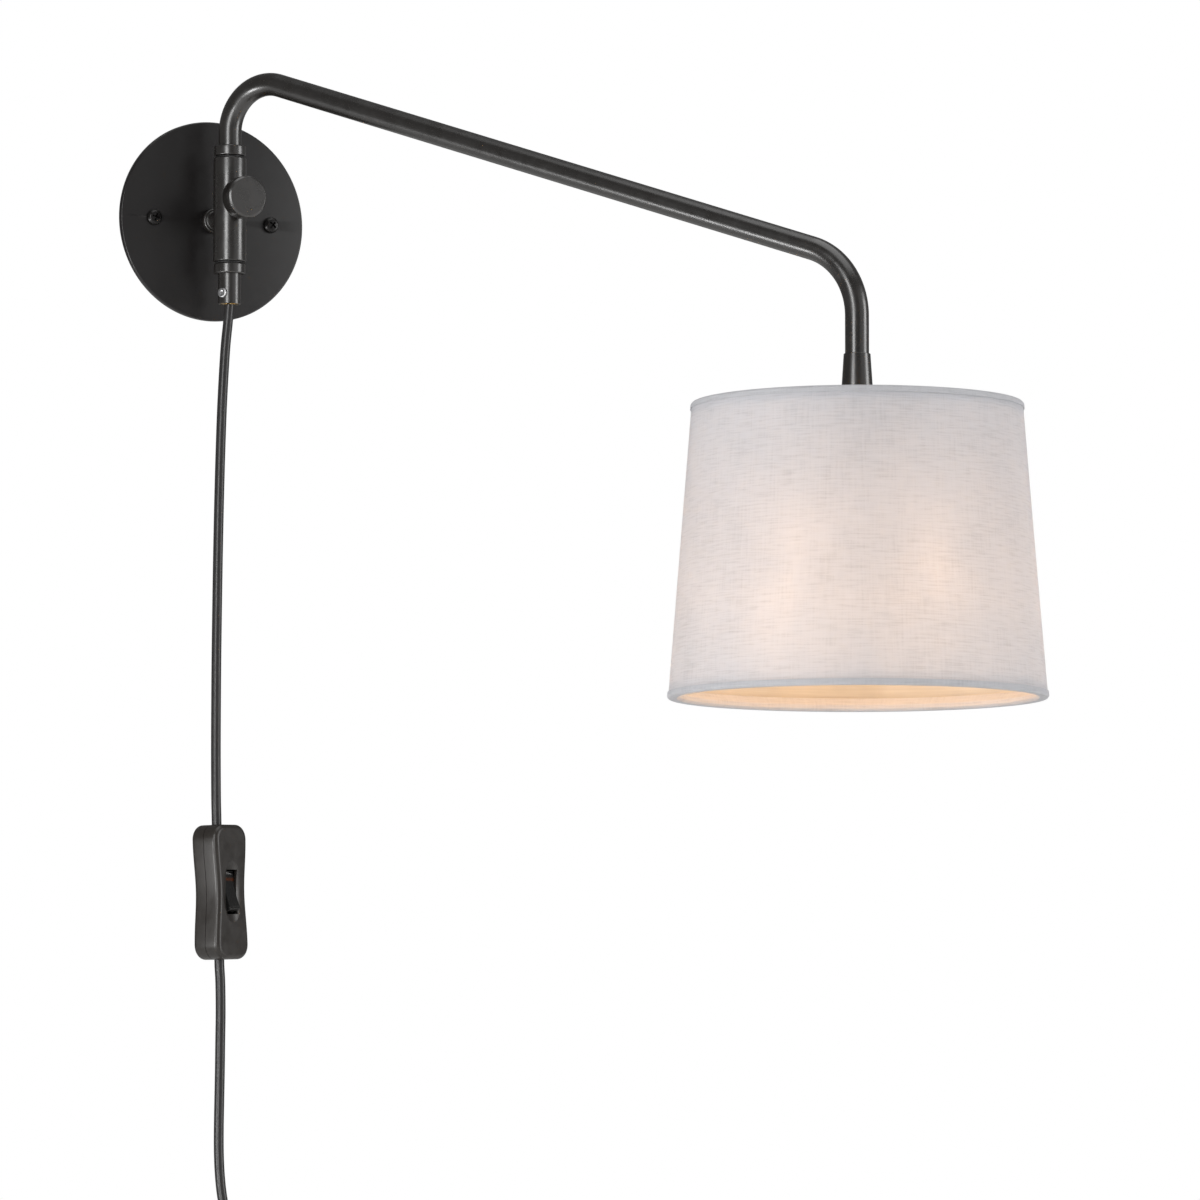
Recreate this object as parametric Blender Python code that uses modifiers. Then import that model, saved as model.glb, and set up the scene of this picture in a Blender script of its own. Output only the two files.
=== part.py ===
"""Swing arm wall light with a drum shade, an inline rocker switch and a plug, as separate parts.

Metres, +Z up. The origin is the centre of the wall plate's back face: the wall is the plane
y = 0, and the light stands out from it towards -Y.
"""

import math

import bmesh
import bpy
from mathutils import Euler, Matrix, Vector

COLLECTION_NAME = "swing_arm_wall_light"
CUTTER_COLLECTION_NAME = "cutters"
GAP = 0.0003

# Wall plate and its screws
PLATE_RADIUS = 0.056
PLATE_THICKNESS = 0.0035
PLATE_EDGE = 0.0006
SCREW_SPACING = 0.072
SCREW_HEAD_RADIUS = 0.0044
SCREW_HEAD_HEIGHT = 0.0029
SCREW_SHANK_RADIUS = 0.0019
SCREW_REACH = 0.026

# Arm tube
TUBE_RADIUS = 0.00635
TUBE_WALL = 0.001
AXIS_FROM_WALL = 0.026
ARM_REACH = 0.403
ARM_TOP_CORNER = 0.082
ARM_OUTER_CORNER = -0.053
TOP_BEND = 0.025
OUTER_BEND = 0.040
TUBE_FOOT = -0.049
TUBE_END = -0.112
REST_SWING = math.radians(30)

# Swivel barrel
BARREL_RADIUS = 0.0092
BARREL_BORE = 0.0076
BARREL_TOP = 0.0327
BARREL_FOOT = -0.0254
BUSH_LENGTH = 0.012
BUSH_FLANGE = 0.0006
COLLAR_RADIUS = 0.0088
COLLAR_HEIGHT = 0.0056
STANDOFF_RADIUS = 0.0068
STANDOFF_NECK = 0.0050
STANDOFF_BASE = 0.0035

# Thumbscrew
THUMB_HEIGHT = 0.0085
KNOB_RADIUS = 0.01175
KNOB_BACK = 0.0145
KNOB_FACE = 0.0240
STUD_RADIUS = 0.0020
PAD_LENGTH = 0.0016

# Cord grip in the foot of the tube
GRIP_LENGTH = 0.018
GRIP_SCREW_HEIGHT = -0.0433
GRIP_SCREW_TOP = 0.0079
GRIP_SCREW_HEAD = 0.0027
GRUB_RADIUS = 0.0015

# Lampholder, below the outer leg of the arm
COVER_TOP = -0.102
COVER_FOOT = -0.150
COVER_RADIUS = 0.0155
COVER_WALL = 0.0012
HOLDER_RADIUS = 0.0135
HOLDER_FOOT = -0.188
NIPPLE_RADIUS = 0.0051

# Shade
SHADE_TOP = -0.129
SHADE_HEIGHT = 0.155
SHADE_TOP_RADIUS = 0.0875
SHADE_FOOT_RADIUS = 0.100
FABRIC_THICKNESS = 0.0008
LINER_THICKNESS = 0.0005
WIRE_RADIUS = 0.0015
FITTER_TOP = -0.1530
FITTER_THICKNESS = 0.0015

# Bulb
BULB_RADIUS = 0.0175
BULB_NECK_TOP = -0.1835
BULB_TIP = -0.262
GLASS_THICKNESS = 0.0008
CAP_RADIUS = 0.0069

# Inline switch
SWITCH_LENGTH = 0.0744
SWITCH_WIDTH = 0.0280
SWITCH_WAIST = 0.0240
SWITCH_THICKNESS = 0.0180
SWITCH_WALL = 0.0016
SWITCH_EDGE = 0.0026
SWITCH_CENTRE = Vector((-0.0027, -0.0227, -0.3763))
SWITCH_TURN = math.radians(26)
SWITCH_LEAN = math.radians(-2.2)
SWITCH_ENTRY_BACK = 0.0015
RECESS_DEPTH = 0.0018
ROCKER_REACH = 0.0119
ROCKER_WIDTH = 0.0088
ROCKER_PIVOT = -0.0032
ROCKER_TILT = math.radians(-12)

# Cord
CORD_RADIUS = 0.00275
CORD_STEP = 0.0124
CORD_IN_SWITCH = 0.0025
COIL_OUTER = 0.0345
COIL_PITCH = 0.0056
COIL_COLUMNS = 4
COIL_CENTRE = Vector((-0.0300, -0.0220, -0.5945))
TIE_ANGLE = math.radians(-70)
TIE_WIDTH = 0.010
TIE_THICKNESS = 0.0012
TIE_ROOM = 0.0009

# Plug
PLUG_ENTRY = Vector((0.0030, -0.0320, -0.6690))
PLUG_THICKNESS = 0.0175
PLUG_RELIEF_LENGTH = 0.030
PIN_SPACING = 0.0222
PIN_RISE = 0.0222
PIN_LENGTH = 0.0177
EARTH_LENGTH = 0.0227

# Directions: a turned part's own +Z is turned to point where the name says
OUTWARD = (math.pi / 2, 0, 0)
TO_RIGHT = (0, math.pi / 2, 0)
TO_LEFT = (0, -math.pi / 2, 0)


# ---------------------------------------------------------------- materials


def finish(name, colour, roughness, metallic=0.0):
    """A Principled material."""
    made = bpy.data.materials.new(name)
    made.use_nodes = True
    shader = made.node_tree.nodes["Principled BSDF"]
    shader.inputs["Base Color"].default_value = (*colour, 1)
    shader.inputs["Roughness"].default_value = roughness
    shader.inputs["Metallic"].default_value = metallic
    made.diffuse_color = (*colour, 1)
    return made


# ------------------------------------------------------------ object helpers


def empty(name, at, turn=(0, 0, 0), parent=None):
    """A frame that parts hang on, for instance on a joint's axis."""
    made = bpy.data.objects.new(name, None)
    made.location = at
    made.rotation_euler = turn
    made.parent = parent
    bpy.data.collections[COLLECTION_NAME].objects.link(made)
    return made


def add_part(name, data, material, parent=None, at=(0, 0, 0), turn=(0, 0, 0)):
    """A named part with its material, placed in its parent's frame."""
    made = bpy.data.objects.new(name, data)
    made.location = at
    made.rotation_euler = turn
    made.parent = parent
    data.materials.append(material)
    bpy.data.collections[COLLECTION_NAME].objects.link(made)
    return made


def as_cutter(obj):
    """Moves an object to the cutters, which are not parts."""
    for collection in obj.users_collection:
        collection.objects.unlink(obj)
    bpy.data.collections[CUTTER_COLLECTION_NAME].objects.link(obj)
    obj.hide_render = True
    obj.display_type = "WIRE"
    obj.data.materials.clear()
    return obj


def cut(obj, cutter, operation="DIFFERENCE"):
    modifier = obj.modifiers.new(cutter.name, "BOOLEAN")
    modifier.operation = operation
    modifier.object = as_cutter(cutter)
    return obj


def round_edges(obj, width, segments=2, angle=35):
    modifier = obj.modifiers.new("edges", "BEVEL")
    modifier.width = width
    modifier.segments = segments
    modifier.limit_method = "ANGLE"
    modifier.angle_limit = math.radians(angle)
    modifier.use_clamp_overlap = True
    return obj


def smooth(obj):
    obj.data.shade_smooth()
    obj.data.set_sharp_from_angle(angle=math.radians(35))
    return obj


def turned(name, profile, material, segments=24, closed=False, **place):
    """A half section in (radius, height), turned about its own Z. It runs down the outer side."""
    mesh = bpy.data.meshes.new(name)
    edges = [(i, i + 1) for i in range(len(profile) - 1)]
    if closed:
        edges.append((len(profile) - 1, 0))
    mesh.from_pydata([(radius, 0, height) for radius, height in profile], edges, [])
    obj = add_part(name, mesh, material, **place)
    screw = obj.modifiers.new("turn", "SCREW")
    screw.axis = "Z"
    screw.steps = segments
    screw.render_steps = segments
    screw.use_merge_vertices = True
    screw.merge_threshold = 1e-5
    screw.use_smooth_shade = True
    return obj


def rod(name, radius, top, foot, material, chamfer=0.0, segments=20, **place):
    """A plain round bar along its own Z, with chamfered ends."""
    profile = [(0, top), (radius - chamfer, top), (radius, top - chamfer)]
    profile += [(radius, foot + chamfer), (radius - chamfer, foot), (0, foot)]
    if not chamfer:
        profile = [(0, top), (radius, top), (radius, foot), (0, foot)]
    return turned(name, profile, material, segments, **place)


def sleeve(name, outer, inner, top, foot, material, chamfer=0.0, segments=24, **place):
    """A round tube along its own Z, with its outer edges chamfered."""
    profile = [(outer - chamfer, top), (outer, top - chamfer)]
    profile += [(outer, foot + chamfer), (outer - chamfer, foot)]
    if not chamfer:
        profile = [(outer, top), (outer, foot)]
    profile += [(inner, foot), (inner, top)]
    return turned(name, profile, material, segments, closed=True, **place)


def box(name, size, material, **place):
    """A box about its own origin."""
    mesh = bpy.data.meshes.new(name)
    shape = bmesh.new()
    bmesh.ops.create_cube(shape, size=1)
    bmesh.ops.scale(shape, vec=size, verts=shape.verts)
    shape.to_mesh(mesh)
    shape.free()
    return add_part(name, mesh, material, **place)


def curve_object(name, points, radius, material, sides, capped=True, **place):
    """A round wire along a list of points."""
    curve = bpy.data.curves.new(name, "CURVE")
    curve.dimensions = "3D"
    curve.bevel_depth = radius
    curve.bevel_resolution = sides // 2 - 2
    curve.use_fill_caps = capped
    spline = curve.splines.new("POLY")
    spline.points.add(len(points) - 1)
    for control, point in zip(spline.points, points):
        control.co = (*point, 1)
    return add_part(name, curve, material, **place)


def outline_object(name, points, thickness, material, **place):
    """A flat outline in its own XY, with a thickness centred on it."""
    curve = bpy.data.curves.new(name, "CURVE")
    curve.dimensions = "2D"
    curve.fill_mode = "BOTH"
    curve.extrude = thickness / 2
    spline = curve.splines.new("POLY")
    spline.points.add(len(points) - 1)
    for control, point in zip(spline.points, points):
        control.co = (*point, 0, 1)
    spline.use_cyclic_u = True
    return add_part(name, curve, material, **place)


def to_mesh_object(obj):
    """Replaces a curve by its mesh, with the loose caps welded and flat faces made whole."""
    bpy.context.view_layer.update()
    evaluated = obj.evaluated_get(bpy.context.evaluated_depsgraph_get())
    mesh = bpy.data.meshes.new_from_object(evaluated)
    shape = bmesh.new()
    shape.from_mesh(mesh)
    bmesh.ops.remove_doubles(shape, verts=shape.verts, dist=1e-6)
    bmesh.ops.dissolve_limit(
        shape, angle_limit=math.radians(0.5), verts=shape.verts, edges=shape.edges
    )
    shape.to_mesh(mesh)
    shape.free()
    name, collection = obj.name, obj.users_collection[0]
    parent, matrix = obj.parent, obj.matrix_basis.copy()
    bpy.data.objects.remove(obj)
    made = bpy.data.objects.new(name, mesh)
    made.parent = parent
    made.matrix_basis = matrix
    collection.objects.link(made)
    return made


# ---------------------------------------------------------- curves and outlines


def smooth_route(points, spacing):
    """Points at an even spacing along a smooth curve through a route's own points."""
    route = [Vector(point) for point in points]
    first = 2 * route[0] - route[1]
    last = 2 * route[-1] - route[-2]
    ends = [first, *route, last]
    fine = []
    for before, start, end, after in zip(ends, ends[1:], ends[2:], ends[3:]):
        for step in range(16):
            t = step / 16
            pull = (end - before) * (t - 2 * t**2 + t**3)
            push = (after - start) * (t**3 - t**2)
            blend = start * (1 - 3 * t**2 + 2 * t**3) + end * (3 * t**2 - 2 * t**3)
            fine.append(blend + (pull + push) / 2)
    fine.append(route[-1])
    return evenly_spaced(fine, spacing)


def evenly_spaced(fine, spacing):
    lengths = [(b - a).length for a, b in zip(fine, fine[1:])]
    count = max(2, round(sum(lengths) / spacing))
    step = sum(lengths) / count
    found, walked, target = [fine[0]], 0.0, step
    for start, end, length in zip(fine, fine[1:], lengths):
        while walked + length >= target and len(found) < count:
            found.append(start.lerp(end, (target - walked) / length))
            target += step
        walked += length
    found.append(fine[-1])
    return found


def bend(corner, along, away, radius, segments):
    """Points of a round bend at a corner, between two straight runs."""
    turn = along.angle(away)
    start = corner - along * radius * math.tan(turn / 2)
    inward = (away - along * along.dot(away)).normalized()
    centre = start + inward * radius
    angles = [turn * i / segments for i in range(segments + 1)]
    return [centre - inward * radius * math.cos(a) + along * radius * math.sin(a) for a in angles]


def arc_points(centre, radius, start, end, count):
    """Points of an arc in a plane, from one angle to another."""
    angles = [start + (end - start) * i / (count - 1) for i in range(count)]
    return [(centre[0] + radius * math.cos(a), centre[1] + radius * math.sin(a)) for a in angles]


def rounded_outline(corners, radius, count=5):
    """A closed outline through its corners, counter-clockwise, each rounded by an arc."""
    found = []
    for before, corner, after in zip(corners[-1:] + corners[:-1], corners, corners[1:] + corners[:1]):
        to_corner = (Vector(corner) - Vector(before)).normalized()
        from_corner = (Vector(after) - Vector(corner)).normalized()
        turn = to_corner.angle(from_corner)
        start = Vector(corner) - to_corner * radius * math.tan(turn / 2)
        inward = Vector((-to_corner.y, to_corner.x))
        centre = start + inward * radius
        first = math.atan2(-inward.y, -inward.x)
        found += arc_points(centre, radius, first, first + turn, count)
    return found


def waisted_outline(length, end_width, waist_width, corner, count=9):
    """A tall outline, counter-clockwise, with rounded corners and sides that pull in at the middle."""
    reach = length / 2 - corner
    side = []
    for i in range(count):
        height = -reach + 2 * reach * i / (count - 1)
        flare = (1 - math.cos(math.pi * height / reach)) / 2
        side.append(((waist_width + (end_width - waist_width) * flare) / 2, height))
    rounding = arc_points((end_width / 2 - corner, reach), corner, 0, math.pi / 2, 5)[1:]
    half = side + rounding + [(-x, y) for x, y in reversed(rounding)]
    return half + [(-x, -y) for x, y in half]


def circle_section(major, height, minor, count):
    """A round wire's section, as a closed half section that runs down its outer side."""
    angles = [math.pi / 2 - 2 * math.pi * i / count for i in range(count)]
    return [(major + minor * math.cos(a), height + minor * math.sin(a)) for a in angles]


# ------------------------------------------------------------------ wall plate


def make_wall_plate(looks):
    front = PLATE_THICKNESS
    profile = [(0, front), (PLATE_RADIUS - PLATE_EDGE, front)]
    profile += [(PLATE_RADIUS, front - PLATE_EDGE), (PLATE_RADIUS, 0), (0, 0)]
    plate = turned("wall_plate", profile, looks["black_metal"], 64, turn=OUTWARD)
    for side, x in (("left", -SCREW_SPACING / 2), ("right", SCREW_SPACING / 2)):
        hole = rod(
            f"{side}_screw_hole", 0.0023, 0.02, -0.02, looks["steel"], at=(x, 0, 0), turn=OUTWARD
        )
        cut(plate, hole)


def make_wall_screws(looks):
    """Two pan head cross recess screws."""
    under_head = PLATE_THICKNESS + GAP
    top = under_head + SCREW_HEAD_HEIGHT
    rim = under_head + 0.0009
    dome = []
    for i in range(5):
        a = math.radians(90 * i / 4)
        height = rim + (top - rim) * math.cos(a)
        dome.append((SCREW_HEAD_RADIUS * math.sin(a), height))
    profile = dome + [(SCREW_HEAD_RADIUS, under_head), (SCREW_SHANK_RADIUS, under_head)]
    profile += [(SCREW_SHANK_RADIUS, -SCREW_REACH + 0.005), (0, -SCREW_REACH)]
    for side, x in (("left", -SCREW_SPACING / 2), ("right", SCREW_SPACING / 2)):
        screw = turned(
            f"wall_screw_{side}", profile, looks["black_screw"], 16, at=(x, 0, 0), turn=OUTWARD
        )
        for number, angle in enumerate((35, 125)):
            slot = box(
                f"{side}_slot_{number}",
                (0.0050, 0.0011, 0.0034),
                looks["steel"],
                at=(x, -top, 0),
                turn=(math.pi / 2, math.radians(angle), 0),
            )
            cut(screw, slot)


def make_standoff(looks):
    """The stub that holds the barrel off the plate. Its end is hollowed to fit the barrel."""
    foot = PLATE_THICKNESS + GAP
    base_top = foot + STANDOFF_BASE
    end = AXIS_FROM_WALL - BARREL_RADIUS + 0.004
    profile = [(0, end), (STANDOFF_NECK, end), (STANDOFF_NECK, base_top)]
    profile += [(STANDOFF_RADIUS - 0.0005, base_top), (STANDOFF_RADIUS, base_top - 0.0005)]
    profile += [(STANDOFF_RADIUS, foot), (0, foot)]
    stub = turned("standoff", profile, looks["bronze"], 24, turn=OUTWARD)
    saddle = rod(
        "saddle", BARREL_RADIUS + GAP, 0.02, -0.02, looks["steel"], segments=32,
        at=(0, -AXIS_FROM_WALL, 0),
    )
    cut(stub, saddle)


# --------------------------------------------------------------- swivel barrel


def make_barrel(looks):
    place = {"at": (0, -AXIS_FROM_WALL, 0)}
    barrel = sleeve(
        "swivel_barrel", BARREL_RADIUS, BARREL_BORE, BARREL_TOP, BARREL_FOOT, looks["bronze"],
        0.0004, 32, **place,
    )
    hole = rod(
        "thumbscrew_hole", STUD_RADIUS + GAP, 0.02, 0.004, looks["steel"],
        at=(0, -AXIS_FROM_WALL, THUMB_HEIGHT), turn=OUTWARD,
    )
    cut(barrel, hole)
    outer = BARREL_BORE - 0.0002
    inner = TUBE_RADIUS + 0.0002
    flange = COLLAR_RADIUS - 0.0007
    for name, face, way in (("upper_bush", BARREL_TOP, 1), ("lower_bush", BARREL_FOOT, -1)):
        near = face + way * GAP
        far = near + way * BUSH_FLANGE
        tail = face - way * BUSH_LENGTH
        profile = [(flange, far), (flange, near), (outer, near), (outer, tail)]
        profile += [(inner, tail), (inner, far)]
        if way < 0:
            profile = [(outer, tail), (outer, near), (flange, near), (flange, far)]
            profile += [(inner, far), (inner, tail)]
        turned(name, profile, looks["nylon"], 24, closed=True, **place)


def make_collars(looks, arm):
    """The two collars fixed to the tube, which carry it on the barrel, and their grub screws."""
    rest = BUSH_FLANGE + 2 * GAP
    lifted = BARREL_TOP + rest
    hung = BARREL_FOOT - rest
    for name, top in (("top_collar", lifted + COLLAR_HEIGHT), ("bottom_collar", hung)):
        foot = top - COLLAR_HEIGHT
        collar = sleeve(
            name, COLLAR_RADIUS, TUBE_RADIUS + GAP, top, foot, looks["bronze"], 0.0004, 28,
            parent=arm,
        )
        middle = (top + foot) / 2
        place = {"parent": arm, "at": (0, 0, middle), "turn": TO_RIGHT}
        cut(collar, rod(f"{name}_hole", 0.0018, 0.012, 0.003, looks["steel"], **place))
        grub = rod(
            f"{name}_grub_screw", GRUB_RADIUS, COLLAR_RADIUS - 0.0004, TUBE_RADIUS + GAP,
            looks["steel"], 0.0002, 16, **place,
        )
        socket_at = (COLLAR_RADIUS - 0.0004, 0, middle)
        place = {"parent": arm, "at": socket_at, "turn": TO_RIGHT}
        cut(grub, rod(f"{name}_socket", 0.0008, 0.001, -0.0009, looks["steel"], 0, 6, **place))


# ------------------------------------------------------------------ thumbscrew


def make_thumbscrew(looks, thumb):
    """A round flat knob on a threaded stud, with a soft pad at its tip that grips the tube."""
    pad_foot = TUBE_RADIUS + GAP
    pad_top = pad_foot + PAD_LENGTH
    rod("clamp_pad", STUD_RADIUS - 0.0003, pad_top, pad_foot, looks["nylon"], 0, 16, parent=thumb)
    chamfer = 0.0005
    profile = [(0, KNOB_FACE), (KNOB_RADIUS - chamfer, KNOB_FACE)]
    profile += [(KNOB_RADIUS, KNOB_FACE - chamfer), (KNOB_RADIUS, KNOB_BACK + chamfer)]
    profile += [(KNOB_RADIUS - chamfer, KNOB_BACK), (0.0045, KNOB_BACK)]
    profile += [(0.0045, KNOB_BACK - 0.0015), (STUD_RADIUS, KNOB_BACK - 0.0015)]
    profile += [(STUD_RADIUS, pad_top + GAP), (0, pad_top + GAP)]
    turned("thumbscrew", profile, looks["bronze"], 32, parent=thumb)


# -------------------------------------------------------------------- arm tube


def arm_line():
    """The middle line of the arm tube, in the arm's own frame, where it points along -Y."""
    up = Vector((0, 0, 1))
    top = Vector((0, 0, ARM_TOP_CORNER))
    outer = Vector((0, -ARM_REACH, ARM_OUTER_CORNER))
    along = (outer - top).normalized()
    line = [Vector((0, 0, TUBE_FOOT)), Vector((0, 0, 0))]
    line += bend(top, up, along, TOP_BEND, 10)
    line += bend(outer, along, -up, OUTER_BEND, 7)
    line.append(Vector((0, -ARM_REACH, TUBE_END)))
    return line


def make_arm_tube(looks, arm):
    skin = curve_object(
        "arm_tube", arm_line(), TUBE_RADIUS, looks["bronze"], 16, capped=False, parent=arm
    )
    tube = to_mesh_object(skin)
    wall = tube.modifiers.new("wall", "SOLIDIFY")
    wall.thickness = TUBE_WALL
    wall.offset = -1
    place = {"parent": arm, "at": (0, 0, GRIP_SCREW_HEIGHT), "turn": TO_LEFT}
    cut(tube, rod("grip_screw_hole", 0.0019, 0.012, 0.003, looks["steel"], **place))
    smooth(tube)


def make_inner_lead(looks, arm):
    """The cord's run inside the tube, from the grip to the lampholder."""
    line = arm_line()
    line[0] = Vector((0, 0, TUBE_FOOT + 0.0008))
    line[-1] = Vector((0, -ARM_REACH, COVER_TOP - 0.031))
    curve_object("inner_lead", line, CORD_RADIUS, looks["cord"], 8, parent=arm)


def make_cord_grip(looks, arm):
    """The sleeve in the tube's foot and the bright screw that locks the cord in it."""
    top = TUBE_FOOT + GRIP_LENGTH
    grip = sleeve(
        "cord_grip", TUBE_RADIUS - TUBE_WALL - 0.0002, CORD_RADIUS + GAP, top, TUBE_FOOT + GAP,
        looks["nylon"], 0, 24, parent=arm,
    )
    place = {"parent": arm, "at": (0, 0, GRIP_SCREW_HEIGHT), "turn": TO_LEFT}
    cut(grip, rod("grip_hole", 0.0018, 0.012, 0.001, looks["steel"], **place))
    seat = TUBE_RADIUS + 0.0002
    tip = CORD_RADIUS + GAP
    profile = [(0, GRIP_SCREW_TOP), (GRIP_SCREW_HEAD - 0.0003, GRIP_SCREW_TOP)]
    profile += [(GRIP_SCREW_HEAD, GRIP_SCREW_TOP - 0.0003), (GRIP_SCREW_HEAD, seat)]
    profile += [(GRUB_RADIUS, seat), (GRUB_RADIUS, tip), (0, tip)]
    screw = turned("cord_grip_screw", profile, looks["bright_steel"], 20, **place)
    socket = rod(
        "grip_socket", 0.0014, GRIP_SCREW_TOP + 0.001, GRIP_SCREW_TOP - 0.0009, looks["steel"],
        0, 6, **place,
    )
    cut(screw, socket)


# ------------------------------------------------------------------ lampholder


def make_lampholder(looks, lamp):
    """The cover at the end of the arm, and the screw lampholder inside it."""
    outer = [(0.0071, COVER_TOP), (0.0083, -0.1205), (0.0098, -0.1300)]
    outer += [(0.0124, -0.1370), (0.0148, -0.1425), (COVER_RADIUS, -0.1465)]
    outer.append((COVER_RADIUS, COVER_FOOT))
    inner = [(radius - COVER_WALL, height) for radius, height in reversed(outer[1:])]
    inner = [(max(radius, TUBE_RADIUS + 0.0002), height) for radius, height in inner]
    inner.append((TUBE_RADIUS + 0.0002, COVER_TOP))
    turned("lampholder_cover", outer + inner, looks["bronze"], 28, closed=True, parent=lamp)
    sleeve(
        "entry_nipple", NIPPLE_RADIUS, CORD_RADIUS + 0.0005, COVER_TOP + 0.004, -0.1318,
        looks["steel"], 0, 20, parent=lamp,
    )
    nut = sleeve(
        "nipple_nut", 0.0071, 0.0062, -0.1232, -0.1262, looks["steel"], 0, 6,
        parent=lamp,
    )
    nut.modifiers["turn"].use_smooth_shade = False
    bore = NIPPLE_RADIUS + 0.0002
    cap = [(bore, -0.1290), (0.0068, -0.1295), (0.0100, -0.1375), (0.0125, -0.1430)]
    cap += [(0.0125, -0.1498), (0.0111, -0.1498), (0.0111, -0.1435), (0.0088, -0.1385)]
    cap += [(0.0058, -0.1315), (bore, -0.1315)]
    turned("lampholder_cap", cap, looks["holder_plastic"], 24, closed=True, parent=lamp)
    flange_foot = FITTER_TOP + GAP
    skirt = [(COVER_RADIUS - 0.0004, COVER_FOOT - GAP), (COVER_RADIUS - 0.0004, flange_foot)]
    skirt += [(HOLDER_RADIUS, flange_foot), (HOLDER_RADIUS, HOLDER_FOOT + 0.0005)]
    skirt += [(HOLDER_RADIUS - 0.0005, HOLDER_FOOT), (0.0105, HOLDER_FOOT)]
    skirt += [(0.0105, COVER_FOOT - GAP)]
    turned("lampholder_skirt", skirt, looks["holder_plastic"], 28, closed=True, parent=lamp)
    make_holder_inside(looks, lamp)
    sleeve(
        "shade_ring", 0.0180, HOLDER_RADIUS + 0.0002, FITTER_TOP - FITTER_THICKNESS - GAP,
        FITTER_TOP - FITTER_THICKNESS - 0.0085, looks["holder_plastic"], 0.0006, 28, parent=lamp,
    )


def make_holder_inside(looks, lamp):
    """The core with its contacts, and the two insulated wires that feed them."""
    rod("holder_core", 0.0102, -0.1500, -0.1560, looks["ceramic"], 0.0003, 20, parent=lamp)
    box(
        "centre_contact", (0.0042, 0.0050, 0.0010), looks["brass"], parent=lamp,
        at=(0, 0, -0.1570),
    )
    box(
        "side_contact", (0.0008, 0.0042, 0.0110), looks["brass"], parent=lamp,
        at=(0.0086, 0, -0.1620),
    )
    lead_end = COVER_TOP - 0.031 - GAP
    for name, side in (("live_core", 1), ("neutral_core", -1)):
        route = [(side * 0.0013, 0, lead_end), (side * 0.0016, 0, lead_end - 0.003)]
        route += [(side * 0.0040, 0, lead_end - 0.009), (side * 0.0052, 0, lead_end - 0.0135)]
        route.append((side * 0.0053, 0, -0.1497))
        look = looks[name]
        curve_object(name, smooth_route(route, 0.003), 0.0010, look, 8, parent=lamp)


# ----------------------------------------------------------------------- shade


def shade_radius(height):
    """The shade's outer radius at a height."""
    down = (SHADE_TOP - height) / SHADE_HEIGHT
    return SHADE_TOP_RADIUS + (SHADE_FOOT_RADIUS - SHADE_TOP_RADIUS) * down


def make_shade(looks, lamp):
    foot = SHADE_TOP - SHADE_HEIGHT
    layers = (
        ("shade_fabric", 0.0, FABRIC_THICKNESS, looks["linen"]),
        ("shade_liner", FABRIC_THICKNESS + GAP, LINER_THICKNESS, looks["liner"]),
    )
    for name, depth, thickness, look in layers:
        inset = depth + thickness
        profile = [(SHADE_TOP_RADIUS - depth, SHADE_TOP), (SHADE_FOOT_RADIUS - depth, foot)]
        profile += [(SHADE_FOOT_RADIUS - inset, foot), (SHADE_TOP_RADIUS - inset, SHADE_TOP)]
        turned(name, profile, look, 48, closed=True, parent=lamp)
    inside = FABRIC_THICKNESS + LINER_THICKNESS + 2 * GAP + WIRE_RADIUS
    foot_height = foot + WIRE_RADIUS
    ring = circle_section(shade_radius(foot_height) - inside, foot_height, WIRE_RADIUS, 6)
    turned("shade_foot_ring", ring, looks["wire"], 40, closed=True, parent=lamp)
    make_shade_frame(looks, lamp, inside)


def make_shade_frame(looks, lamp, inside):
    """The top wire ring with three spokes that carry the fitter ring, welded together."""
    height = SHADE_TOP - WIRE_RADIUS
    ring_radius = shade_radius(height) - inside
    ring = circle_section(ring_radius, height, WIRE_RADIUS, 6)
    frame = turned("shade_frame", ring, looks["wire"], 40, closed=True, parent=lamp)
    fitter_foot = FITTER_TOP - FITTER_THICKNESS
    fitter = sleeve(
        "fitter_ring", 0.0190, HOLDER_RADIUS + GAP, FITTER_TOP, fitter_foot, looks["wire"], 0, 24,
        parent=lamp,
    )
    for number in range(3):
        route = [(0, ring_radius + 0.0002, height), (0, 0.070, height - 0.0005)]
        route += [(0, 0.045, height - 0.007), (0, 0.026, height - 0.0205)]
        route.append((0, 0.0170, FITTER_TOP - 0.0006))
        angle = math.radians(90 + 120 * number)
        spoke = curve_object(
            f"spoke_{number}", route, 0.0013, looks["wire"], 8, parent=lamp, turn=(0, 0, angle)
        )
        cut(frame, to_mesh_object(spoke), "UNION")
    cut(frame, fitter, "UNION")


# ------------------------------------------------------------------------ bulb


def bulb_profile(inset):
    """The candle bulb's outline from its neck down to its tip, drawn in by an inset."""
    widest = -0.215
    points = []
    neck = 0.0062
    for i in range(6):
        t = i / 5
        radius = neck + (BULB_RADIUS - neck) * math.sin(math.pi / 2 * t) ** 1.4
        points.append((radius - inset, BULB_NECK_TOP + (widest - BULB_NECK_TOP) * t))
    for i in range(1, 7):
        t = i / 6
        radius = BULB_RADIUS * math.cos(math.pi / 2 * t) ** 0.85
        height = widest + (BULB_TIP + inset - widest) * math.sin(math.pi / 2 * t)
        points.append((max(radius - inset, 0), height))
    points[-1] = (0, BULB_TIP + inset)
    return points


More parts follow.
